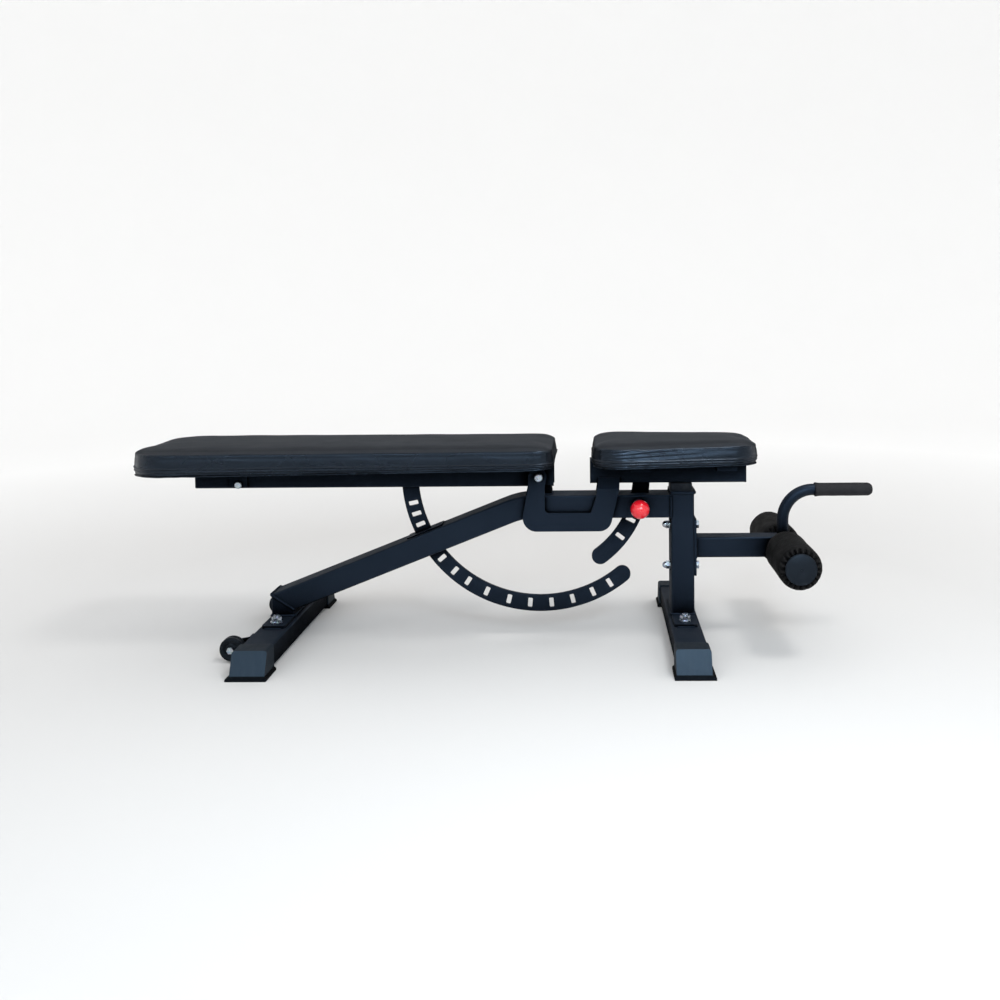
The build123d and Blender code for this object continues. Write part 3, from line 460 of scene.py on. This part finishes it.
# ---- weld beads ----------------------------------------------------------------------------------
def weld_bead(name, line, closed, body, radius=0.0030, pitch=0.0026):
    """A rippled bead along a line, half sunk into the joint that it fills."""
    points, total = resampled(line, 0.00065, closed)
    count, sides = len(points), 10
    ripples = max(1, round(total / pitch))
    mesh_points = []
    for k, p in enumerate(points):
        ahead = points[(k + 1) % count] if closed or k + 1 < count else p
        behind = points[k - 1] if closed or k > 0 else p
        along = (ahead - behind).normalized()
        across = along.cross(UP if abs(along.z) < 0.9 else Vector((1, 0, 0))).normalized()
        over = across.cross(along)
        phase = (k / count * ripples) % 1.0
        wander = 1 + 0.10 * noise.noise(p * 60)
        r = radius * wander * (0.80 + 0.20 * math.sqrt(max(0.0, 1 - (2 * phase - 1) ** 2)))
        for s in range(sides):
            angle = 2 * math.pi * s / sides
            mesh_points.append(p + r * (math.cos(angle) * across + math.sin(angle) * over))
    faces = grid_faces(count, sides, close_rows=closed)
    if not closed:
        faces.append(tuple(reversed(range(sides))))
        faces.append(tuple((count - 1) * sides + s for s in range(sides)))
    return new_piece(name, mesh_points, faces, "frame_paint", body)


def loop_xy(x0, x1, y0, y1, z, corner=0.004):
    """A rounded rectangle in a level plane."""
    corners = ((x1, y1, 0), (x0, y1, 90), (x0, y0, 180), (x1, y0, 270))
    line = []
    for x, y, start in corners:
        cx = x - math.copysign(corner, x - (x0 + x1) / 2)
        cy = y - math.copysign(corner, y - (y0 + y1) / 2)
        line += [Vector((u, v, z)) for u, v in arc_points((cx, cy), corner, start, start + 90, 6)]
    return line


def turned(line, origin, matrix):
    """A level line carried to another plane."""
    return [origin + matrix @ p for p in line]


def top_near(name, axis, value, reach=0.0015):
    """The height of a node's highest point where one coordinate has a value."""
    return max(v.co.z for v in nodes[name].data.vertices if abs(v.co[axis] - value) < reach)


def make_welds():
    """Beads at every joint that is welded, named for what they join."""
    post_low, post_high, _ = box_of("front_post")
    stub_low, stub_high, _ = box_of("rear_stub")
    _, beam_high, _ = box_of("main_beam")
    for end, low, high in (("post_foot", post_low, post_high), ("stub_foot", stub_low, stub_high)):
        weld_bead("weld_" + end, loop_xy(low.x, high.x, low.y, high.y, low.z), True, "frame", 0.0036)
    stub_front = top_near("rear_stub", 0, stub_high.x)
    mitre = loop_xy(stub_low.x, stub_high.x, stub_low.y, stub_high.y, 0)
    fall = (stub_high.z - stub_front) / (stub_high.x - stub_low.x)
    mitre = [Vector((p.x, p.y, stub_high.z - fall * (p.x - stub_low.x))) for p in mitre]
    weld_bead("weld_mitre", mitre, True, "frame", 0.0034)
    half, top = post_high.y, beam_high.z
    short, under = half - BEAM_CORNER, top - BEAM_HEIGHT
    joint = ((-short, top), (short, top), (half, top - BEAM_CORNER), (half, under + BEAM_CORNER),
             (short, under), (-short, under), (-half, under + BEAM_CORNER), (-half, top - BEAM_CORNER))
    joint = [Vector((post_low.x, y, z)) for y, z in joint]
    weld_bead("weld_beam_post", joint, True, "frame", 0.0032)
    plate_low, _, _ = box_of("post_top_plate")
    post_head = loop_xy(post_low.x, post_high.x, post_low.y, post_high.y, plate_low.z)
    weld_bead("weld_post_head", post_head, True, "frame", 0.0026)
    for end in ("front", "rear"):
        low, high, mid = box_of(end + "_base_plate")
        for side, name in ((-1, "right"), (1, "left")):
            line = [Vector((mid.x + reach, side * high.y, low.z)) for reach in (-0.018, 0.018)]
            weld_bead(f"weld_{end}_plate_{name}", line, False, "frame", 0.0024)
    low, high, _ = box_of("pivot_lug")
    weld_bead("weld_lug", loop_xy(low.x, high.x, low.y, high.y, low.z), True, "frame", 0.0026)
    leg_low, leg_high, leg_mid = box_of("leg_tube")
    half = (leg_high.z - leg_low.z) / 2
    facing = Matrix(((0, 0, 1), (0, 1, 0), (-1, 0, 0)))
    square = turned(loop_xy(-half, half, -half, half, 0), Vector((leg_low.x, 0, leg_mid.z)), facing)
    weld_bead("weld_leg_tube", square, True, "frame", 0.0030)
    handle_low, _, _ = box_of("handle_tube")
    handle_x = handle_low.x + ROUND_TUBE_R
    circle = arc_points((0, 0), ROUND_TUBE_R, 0, 354, 60)
    ring = [Vector((handle_x + u, v, leg_high.z)) for u, v in circle]
    weld_bead("weld_handle", ring, True, "frame", 0.0026)
    _, _, axle = box_of("roller_axle")
    for side, name in ((-1, "right"), (1, "left")):
        ring = [Vector((axle.x + u, side * leg_high.y, axle.z + v)) for u, v in circle]
        weld_bead("weld_axle_" + name, ring, True, "frame", 0.0024)
    for strap, body in (("back_arc", "backrest"), ("seat_arc", "seat")):
        low, high, _ = box_of(strap)
        xs = [v.co.x for v in nodes[strap].data.vertices if v.co.z > high.z - 0.001]
        loop = loop_xy(min(xs), max(xs), low.y, high.y, high.z, 0.001)
        weld_bead("weld_" + strap, loop, True, body, 0.0024)


# ---- pads ----------------------------------------------------------------------------------------
def plan_ring(node, spacing):
    """A pad's outline in plan from its CAD solid, as (points, outward normals), anticlockwise."""
    flat = [v.co.xy for v in nodes[node].data.vertices]
    hull = [flat[i] for i in convex_hull_2d(flat)]
    points, _ = resampled([p.to_3d() for p in hull], spacing, True)
    points = [p.xy for p in points]
    for _ in range(4):
        before, after = points[-1:] + points[:-1], points[1:] + points[:1]
        points = [(a + 2 * b + c) / 4 for a, b, c in zip(before, points, after)]
    area = sum(a.x * b.y - b.x * a.y for a, b in zip(points, points[1:] + points[:1]))
    if area < 0:
        points.reverse()
    normals = []
    for before, after in zip(points[-1:] + points[:-1], points[1:] + points[:1]):
        tangent = (after - before).normalized()
        normals.append(Vector((tangent.y, -tangent.x)))
    return points, normals


def pad_start(name, ring, low, high, crown):
    """A closed form a little smaller than the pad: turned-in base, near-upright side, rounded shoulder."""
    points, normals = ring
    base, top = low.z, high.z - PAD_START_INSET
    lean = math.radians(12)
    waist = base + 0.58 * (top - base)
    bend = top - crown * (1 - math.sin(lean))
    inward = (bend - waist) * math.tan(lean)
    profile = [(0.008, base), (0.003, base + 0.0015), (0.0008, base + 0.005), (0.0, base + 0.012)]
    profile.append((0.0, waist))
    shoulder = arc_points((0, top - crown), crown, 12, 84, 9)
    profile += [(inward + crown * math.cos(lean) - u, v) for u, v in shoulder]
    profile.append((0.040, top + 0.0005))
    rows = []
    for inset, z in profile:
        for p, n in zip(points, normals):
            rows.append((p - n * (PAD_START_INSET + inset)).to_3d() + Vector((0, 0, z)))
    count = len(points)
    faces = grid_faces(len(profile), count)
    faces.append(tuple(reversed(range(count))))
    faces.append(tuple(range((len(profile) - 1) * count, len(profile) * count)))
    mesh = bpy.data.meshes.new(name)
    mesh.from_pydata([tuple(p) for p in rows], [], faces)
    mesh.update()
    pad = bpy.data.objects.new(name, mesh)
    scene.collection.objects.link(pad)
    return pad


def settle_modifiers(piece):
    """Puts the shape that the modifiers give into the mesh, and clears them."""
    made = bpy.data.meshes.new_from_object(piece.evaluated_get(bpy.context.evaluated_depsgraph_get()))
    piece.modifiers.clear()
    piece.data = made


def swell(pad, base):
    """Blows the cover up from inside and lets it settle, with the base held down as it is by its board."""
    rest = [v.co.copy() for v in pad.data.vertices]
    held = pad.vertex_groups.new(name="held")
    held.add([v.index for v in pad.data.vertices if v.co.z < base + 0.003], 1.0, "REPLACE")
    cloth = pad.modifiers.new("Cloth", "CLOTH")
    cloth.settings.use_pressure = True
    cloth.settings.uniform_pressure_force = SWELL_PRESSURE
    cloth.settings.effector_weights.gravity = 0.0
    cloth.settings.vertex_group_mass = "held"
    cloth.settings.quality = 6
    for step in range(1, SWELL_STEPS + 1):
        scene.frame_set(step)
    settle_modifiers(pad)
    scene.frame_set(1)
    moves = []
    for vertex, start in zip(pad.data.vertices, rest):
        move = vertex.co - start
        moves.append(move if move.length < PAD_SWELL else move.normalized() * PAD_SWELL)
    moves = evened(moves, [tuple(edge.vertices) for edge in pad.data.edges], SWELL_ROUNDS)
    for vertex, start, move in zip(pad.data.vertices, rest, moves):
        vertex.co = start + move


def evened(moves, edges, rounds):
    """Moves averaged along the edges, so that taut foam shows broad swells and no crumpling."""
    field = np.array([tuple(move) for move in moves])
    first, second = np.array(edges).T
    ways = np.bincount(first, minlength=len(field)) + np.bincount(second, minlength=len(field))
    for _ in range(rounds):
        total = np.zeros_like(field)
        np.add.at(total, first, field[second])
        np.add.at(total, second, field[first])
        field = 0.4 * field + 0.6 * total / ways[:, None]
    return [Vector(move) for move in field]


def relax(pad, rounds):
    """Takes the steps of the voxels off a form."""
    smooth = pad.modifiers.new("Smooth", "SMOOTH")
    smooth.factor = 0.5
    smooth.iterations = rounds


def square_shoulders(pad, ring, top):
    """Draws the round shoulder out to the tighter corner that a stretched cover has."""
    points, normals = ring
    tree = KDTree(len(points))
    for k, p in enumerate(points):
        tree.insert(p.to_3d(), k)
    tree.balance()
    for vertex in pad.data.vertices:
        p = vertex.co
        if p.z < top - SHOULDER:
            continue
        _, k, _ = tree.find(Vector((p.x, p.y, 0)))
        n = normals[k]
        depth = (points[k] - p.xy).dot(n)
        aside, above = SHOULDER - depth, p.z - (top - SHOULDER)
        if aside <= 0:
            continue
        reach = math.hypot(aside, above)
        cosine, sine = aside / reach, above / reach
        stretch = (cosine ** SQUARENESS + sine ** SQUARENESS) ** (-1 / SQUARENESS)
        p.xy += n * aside * (stretch - 1)
        p.z += above * (stretch - 1)


def crown_and_crease(pad, low, high, creases):
    """Lifts the middle a little, makes the skin slightly uneven, and presses creases into the sides."""
    centre, half = (low + high) / 2, (high - low) / 2
    for vertex in pad.data.vertices:
        p = vertex.co
        across, along = (p.y - centre.y) / half.y, (p.x - centre.x) / half.x
        rise = max(0.0, (p.z - low.z) / (high.z - low.z))
        p.z += CROWN_RISE * rise * (1 - across ** 2) * (1 - 0.5 * along ** 4)
        p.z += 0.0006 * rise * noise.noise(p * 14)
        if creases:
            depth = creases(p, (p.x - low.x) / (high.x - low.x), rise)
            p.y -= math.copysign(depth, p.y)
        p.z = max(p.z, low.z + 0.0003)


def make_pad(node, body, crown, creases=None):
    """The soft pad that stands for a CAD pad."""
    low, high, _ = box_of(node)
    ring = plan_ring(node, 0.006)
    pad = pad_start(node + "_cover", ring, low, high, crown)
    remesh = pad.modifiers.new("Remesh", "REMESH")
    remesh.mode = "VOXEL"
    remesh.voxel_size = PAD_VOXEL
    relax(pad, 4)
    settle_modifiers(pad)
    swell(pad, low.z)
    pad.modifiers.new("Subdivision", "SUBSURF").levels = 1
    settle_modifiers(pad)
    square_shoulders(pad, ring, high.z - PAD_TOP_DROP)
    crown_and_crease(pad, low, high, creases)
    pad.data.shade_smooth()
    dress(pad, "vinyl", body)
    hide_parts(node)
    return pad


def make_hem(pad, node, body, hang):
    """The strip of vinyl round a pad's lower edge: three ridges, a roll, and a flap under the board.
    hang(point) is how far the roll hangs below the board there."""
    low, _, _ = box_of(node)
    points, normals = plan_ring(node, 0.0025)
    tree = BVHTree.FromObject(pad, bpy.context.evaluated_depsgraph_get())
    rows = 34
    mesh_points = []
    drops = [hang(p) for p in points]
    for row in range(rows):
        z = HEM_HEIGHT * (1 - row / (rows - 1))
        for p, n, drop in zip(points, normals, drops):
            start = (p + n * 0.03).to_3d() + Vector((0, 0, low.z + max(z, 0.0012)))
            hit = tree.ray_cast(start, -n.to_3d())[0]
            surface = hit.xy if hit else p - n * PAD_START_INSET
            wander = 0.0005 * noise.noise(Vector((p.x * 9, p.y * 9, 0)))
            swell_out = sum(math.exp(-((z - at - wander) / 0.0010) ** 2) for at in HEM_RIDGES)
            strength = RIDGE_SIZE * (0.85 + 0.25 * noise.noise(Vector((p.x * 30, p.y * 30, z * 200))))
            fade = min(1.0, (HEM_HEIGHT - z) / 0.002)
            snug = 1 - 0.75 * max(0.0, n.x) ** 4 * max(0.0, 1 - (p.y / 0.09) ** 4)
            out = 0.0004 * fade - 0.0012 * (1 - fade) + strength * snug * swell_out
            lower = z - drop * (1 - z / HEM_HEIGHT)
            mesh_points.append((surface + n * out).to_3d() + Vector((0, 0, low.z + lower)))
    # the flap under the board and back inside: distance in, height, share of the roll's hang
    under = ((0.003, -0.0013, 1.0), (0.008, -0.0011, 0.75), (0.014, -0.0014, 0.15), (0.020, -0.0014, 0.0),
             (HEM_WIDTH, -0.0012, 0.0), (HEM_WIDTH + 0.0005, -0.0002, 0.0), (HEM_WIDTH, 0.0006, 0.0),
             (0.008, 0.0012, 0.0), (0.008, HEM_HEIGHT * 0.8, 0.0))
    for inset, z, share in under:
        for p, n, drop in zip(points, normals, drops):
            ruffle = 0.0006 * noise.noise(Vector((p.x * 40, p.y * 40, 3.0))) if z < 0 else 0.0
            edge = 0.0020 * noise.noise(Vector((p.x * 12, p.y * 12, 7.0))) if inset >= HEM_WIDTH else 0.0
            spot = p - n * (PAD_START_INSET + inset + edge)
            mesh_points.append(spot.to_3d() + Vector((0, 0, low.z + z + ruffle - share * drop)))
    faces = grid_faces(rows + len(under), len(points), close_rows=True)
    new_piece(node + "_hem", mesh_points, [tuple(reversed(face)) for face in faces], "vinyl", body)
    make_staples(node, body, points, normals, low)


def make_staples(node, body, points, normals, low):
    """Wire staples through the hem's flap, 40 mm apart and none quite straight."""
    wire, length, legs, sides = 0.0004, 0.0105, 0.0012, 8
    mesh_points, faces = [], []
    for k in range(0, len(points) - STAPLE_STEP // 2, STAPLE_STEP):
        p, n = points[k], normals[k].to_3d()
        along = n.cross(UP)
        turn = 0.35 * noise.noise(Vector((k * 0.7, 0, 0)))
        along = (Matrix.Rotation(turn, 3, "Z") @ along).normalized()
        middle = p.to_3d() - n * (PAD_START_INSET + HEM_WIDTH * 0.55) + Vector((0, 0, low.z - 0.0019))
        first, last = middle - along * length / 2, middle + along * length / 2
        line = (first + UP * legs, first, last, last + UP * legs)
        base = len(mesh_points)
        for q, turned_to in zip(line, (along, -UP, -UP, along)):
            for s in range(sides):
                angle = 2 * math.pi * s / sides
                spoke = math.cos(angle) * along.cross(UP) + math.sin(angle) * turned_to
                mesh_points.append(q + wire * spoke)
        rings = grid_faces(len(line), sides)
        faces += [(base + a, base + b, base + c, base + d) for a, b, c, d in rings]
        faces.append(tuple(base + s for s in reversed(range(sides))))
        faces.append(tuple(base + 3 * sides + s for s in range(sides)))
    new_piece(node + "_staples", mesh_points, faces, "zinc", body)


def back_hang(p):
    """The back pad's lower edge hangs lower towards the head end, and not at all over the pivot."""
    over_pivot = min(1.0, max(0.0, (p.x - 0.030) / 0.050))
    return 0.0030 * (1 - over_pivot) + 0.0052 * min(1.0, max(0.0, (-0.10 - p.x) / 0.60))


def seat_hang(_):
    """The seat's lower edge hangs by the same amount all round."""
    return 0.0052


def seat_creases(p, run, rise):
    """Folds that fan forward and up from the rear corners of the seat's sides."""
    depth = 0.0
    for slope, offset, size in ((0.10, 0.30, 1.0), (0.17, 0.42, 0.8), (0.26, 0.55, 0.7)):
        line = offset + slope * run * 3.0
        fade = max(0.0, 1 - run / (0.9 - offset * 0.5)) * min(1, run * 9)
        depth += size * math.exp(-((rise - line) / 0.055) ** 2) * fade
    on_side = min(1.0, max(0.0, (abs(p.y) - 0.06) / 0.03))
    return CREASE_DEPTH * depth * on_side


# ---- rollers, grip, knobs and wheels -------------------------------------------------------------
def make_roller(name, side):
    """A foam roller in a gathered cover, and the domed cap over its outer end."""
    foam, core, body = f"roller_foam_{name}", f"roller_core_{name}", f"roller_{name}"
    low, high, centre = box_of(foam)
    core_low, core_high, _ = box_of(core)
    radius = (high.z - low.z) / 2
    inner = min(abs(low.y), abs(high.y))
    outer = max(abs(low.y), abs(high.y))
    cap_face = max(abs(core_low.y), abs(core_high.y))
    hub = Vector((centre.x, 0, centre.z))
    tuck, shoulder, cap_rim = 0.030, 0.013, 0.0325
    barrel = outer - inner - 2 * shoulder

    def gathered(angle, y, r):
        """Pleats run in over both ends and fade out along the barrel."""
        near_end = max(0.0, 1 - min(y - inner, outer - y) / 0.020)
        end_face = min(1.0, max(0.0, (radius - r) / 0.0055))
        fold = abs(math.sin(angle * PLEATS / 2 + 0.35 * math.sin(3 * angle)))
        depth = PLEAT_DEPTH * (1 - fold) * max(end_face, 0.35 * near_end ** 2)
        lump = 0.0007 * noise.noise(Vector((math.cos(angle) * 2, y * 30, math.sin(angle) * 2)))
        inward = 1 if y < (inner + outer) / 2 else -1
        return y + inward * depth * end_face, r - depth * (1 - end_face) * 0.6 + lump

    profile = [(inner + 0.010, 0.0175), (inner + 0.0015, 0.021), (inner + 0.0005, tuck)]
    for u, v in arc_points((0, 0), shoulder, 90, 0, 10):
        profile.append((inner + shoulder - v, radius - shoulder + u))
    profile += [(inner + shoulder + barrel * k / 24, radius) for k in range(1, 24)]
    for u, v in arc_points((0, 0), shoulder, 0, 90, 10):
        profile.append((outer - shoulder + v, radius - shoulder + u))
    profile += [(outer - 0.0005, tuck + 0.004), (outer - 0.0012, tuck), (outer - 0.010, 0.0175)]
    cover = lathe(foam + "_cover", profile, hub, "roller_foam", body, side, 360, gathered)
    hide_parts(foam)
    bulge = cap_rim - 0.003
    dome = [(-0.0045, 0.002), (-0.0045, cap_rim - 0.001), (-0.0030, cap_rim), (-0.0020, cap_rim - 0.0002),
            (-0.0006, cap_rim - 0.0012), (0.0002, bulge)]
    for k in range(1, 12):
        r = bulge * (1 - k / 12)
        dome.append((0.0002 + 0.0040 * (1 - (r / bulge) ** 2), r))
    dome.append((0.0042, 0.0008))
    lathe(core + "_cap", [(cap_face + y, r) for y, r in dome], hub, "plastic", body, side, 128)


def make_grip():
    """The foam sleeve on the handle, flared where it ends and closed over the tube's tip."""
    low, high, centre = box_of("handle_grip")
    radius = (high.z - low.z) / 2
    length = high.x - low.x
    bore = 0.0127
    profile = [(0.0, bore), (-0.0002, radius - 0.001), (0.0006, radius + 0.0007), (0.0030, radius + 0.0010),
               (0.0065, radius + 0.0003), (0.011, radius - 0.0002)]
    profile += [(0.011 + (length - 0.026) * k / 30, radius - 0.0002) for k in range(1, 31)]
    for u, v in arc_points((0, 0), 0.0100, 88, 4, 12):
        profile.append((length - 0.0125 + u * 1.25, radius - 0.0102 + v))
    profile.append((length - 0.0001, 0.0008))
    segments = 96
    points = []
    for x, r in profile:
        for k in range(segments):
            angle = 2 * math.pi * k / segments
            cosine, sine = math.cos(angle), math.sin(angle)
            lumpy = r + 0.00025 * noise.noise(Vector((x * 60, cosine, sine)))
            points.append(Vector((low.x + x, lumpy * cosine, centre.z + lumpy * sine)))
    faces = grid_faces(len(profile), segments)
    faces.append(tuple(reversed(range(segments))))
    faces.append(tuple((len(profile) - 1) * segments + k for k in range(segments)))
    grip = new_piece("handle_grip_sleeve", points, [tuple(reversed(f)) for f in faces], "grip_foam", "frame")
    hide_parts("handle_grip")


def make_knob(name, side):
    """A ball knob with a short neck and a faint parting line."""
    node, body = f"{name}_pin_knob", f"{name}_pin"
    low, high, centre = box_of(node)
    radius = (high.z - low.z) / 2
    ball = abs(centre.y)
    neck = 0.0085
    foot = ball - radius
    profile = [(foot - 0.002, 0.005), (foot - 0.002, neck - 0.0008), (foot - 0.0012, neck)]
    start = math.degrees(math.acos(-math.sqrt(radius ** 2 - neck ** 2) / radius))
    for k in range(61):
        angle = math.radians(start + (0.6 - start) * k / 60)
        ridge = 0.00012 * math.exp(-((angle - math.pi / 2) / 0.02) ** 2)
        profile.append((ball + (radius + ridge) * math.cos(angle), (radius + ridge) * math.sin(angle)))
    knob = lathe(node + "_ball", profile, Vector((centre.x, 0, centre.z)), "knob_red", body, side, 96)
    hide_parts(node)


def make_wheel(name, side):
    """A transport wheel: rounded tyre with a shallow tread, dished web and hub ring."""
    node = f"wheel_{name}"
    low, high, centre = box_of(node)
    radius = (high.z - low.z) / 2
    inner, outer = min(abs(low.y), abs(high.y)), max(abs(low.y), abs(high.y))
    bore = 0.0042
    edge, groove = 0.004, 0.0010
    profile = [(inner, bore), (inner, 0.010), (inner + 0.002, 0.011), (inner + 0.002, 0.015), (inner, 0.0165)]
    profile += [(inner + edge - v, radius - edge + u) for u, v in arc_points((0, 0), edge, 90, 0, 7)]
    middle = (inner + outer) / 2
    for y, cut in ((-0.0034, 0), (-0.0026, groove), (-0.0014, groove), (-0.0006, 0), (0.0006, 0),
                   (0.0014, groove), (0.0026, groove), (0.0034, 0)):
        profile.append((middle + y, radius - cut))
    profile += [(outer - edge + v, radius - edge + u) for u, v in arc_points((0, 0), edge, 0, 90, 7)]
    profile += [(outer, 0.0165), (outer - 0.003, 0.0150), (outer - 0.003, 0.0110), (outer, 0.0098)]
    profile.append((outer, bore))
    points = []
    segments = 96
    for y, r in profile:
        for k in range(segments):
            angle = 2 * math.pi * k / segments
            points.append(Vector((centre.x + r * math.cos(angle), side * y, centre.z + r * math.sin(angle))))
    faces = grid_faces(len(profile), segments, close_rows=True)
    if side > 0:
        faces = [tuple(reversed(face)) for face in faces]
    wheel = new_piece(node + "_tyre", points, faces, "wheel_rubber", node)
    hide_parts(node)


# ---- studio --------------------------------------------------------------------------------------
def make_stage():
    """A round sweep of paper: a floor that curves up into a wall on every side."""
    reach, bend, top, segments = 7.0, 2.5, 6.0, 96
    profile = [(r, 0.0) for r in (0.0, 1.0, 2.5, reach - bend)]
    profile += [(reach - bend + u, bend + v) for u, v in arc_points((0, 0), bend, -90, 0, 16)][1:]
    profile += [(reach, top)]
    points = []
    for r, z in profile:
        for k in range(segments):
            angle = 2 * math.pi * k / segments
            points.append((r * math.cos(angle), r * math.sin(angle), z))
    mesh = bpy.data.meshes.new("studio_sweep")
    mesh.from_pydata(points, [], grid_faces(len(profile), segments))
    mesh.validate()
    mesh.shade_smooth()
    mesh.materials.append(make_backdrop())
    sweep = bpy.data.objects.new("studio_sweep", mesh)
    scene.collection.objects.link(sweep)


def make_light(name, place, target, size, power, tint):
    """A rectangular light that faces a target and isn't seen itself."""
    data = bpy.data.lights.new(name, "AREA")
    data.shape = "RECTANGLE"
    data.size, data.size_y = size
    data.energy = power
    data.color = tint
    light = bpy.data.objects.new(name, data)
    light.location = place
    light.rotation_euler = (Vector(target) - Vector(place)).to_track_quat("-Z", "Y").to_euler()
    light.visible_camera = False
    scene.collection.objects.link(light)


def make_lights():
    """An even white room, a key from above, and blue-tinted light on the side that faces the camera."""
    world = bpy.data.worlds.new("studio")
    world.use_nodes = True
    world.node_tree.nodes["Background"].inputs["Color"].default_value = (0.99, 0.993, 1.0, 1.0)
    world.node_tree.nodes["Background"].inputs["Strength"].default_value = 1.08
    scene.world = world
    make_light("key", (1.25, -0.95, 3.1), (0, 0, 0.2), (0.8, 0.6), 26, (1.0, 0.995, 0.98))
    make_light("front_strip", (0.1, -3.0, 1.45), (0, 0, 0.33), (4.4, 0.5), 32, (0.74, 0.88, 1.0))
    make_light("foot_kicker", (0.56, -1.49, 1.10), (0.38, -0.27, 0.04), (0.45, 0.35), 8.0, (0.76, 0.89, 1.0))


def make_camera():
    """The eye stands in front of the right side, level with the pads' tops and a little above."""
    eye = Vector((0.180, -2.1706, 0.7142))
    yaw, pitch, roll = 0.020, 0.050, -0.0103
    right = Vector((math.cos(yaw), math.sin(yaw), 0))
    ahead = Vector((-math.sin(yaw) * math.cos(pitch), math.cos(yaw) * math.cos(pitch), -math.sin(pitch)))
    above = right.cross(ahead)
    image_right = math.cos(roll) * right + math.sin(roll) * above
    image_up = math.cos(roll) * above - math.sin(roll) * right
    data = bpy.data.cameras.new("camera")
    data.sensor_width = 36.0
    data.lens = 35.77
    data.shift_x, data.shift_y = -0.0695, -0.1372
    data.clip_end = 60.0
    camera = bpy.data.objects.new("camera", data)
    turn = Matrix((image_right, image_up, -ahead)).transposed()
    camera.matrix_world = Matrix.Translation(eye) @ turn.to_4x4()
    scene.collection.objects.link(camera)
    scene.camera = camera


# ---- the whole -----------------------------------------------------------------------------------
finish_cad_nodes()
make_hem(make_pad("back_pad", "backrest", 0.014), "back_pad", "backrest", back_hang)
make_hem(make_pad("seat_pad", "seat", 0.015, seat_creases), "seat_pad", "seat", seat_hang)
for side_name, side_sign in (("right", -1), ("left", 1)):
    make_roller(side_name, side_sign)
    make_wheel(side_name, side_sign)
make_grip()
make_knob("seat", -1)
make_knob("back", 1)
make_welds()
make_stage()
make_lights()
make_camera()
scene.view_settings.view_transform = "Standard"
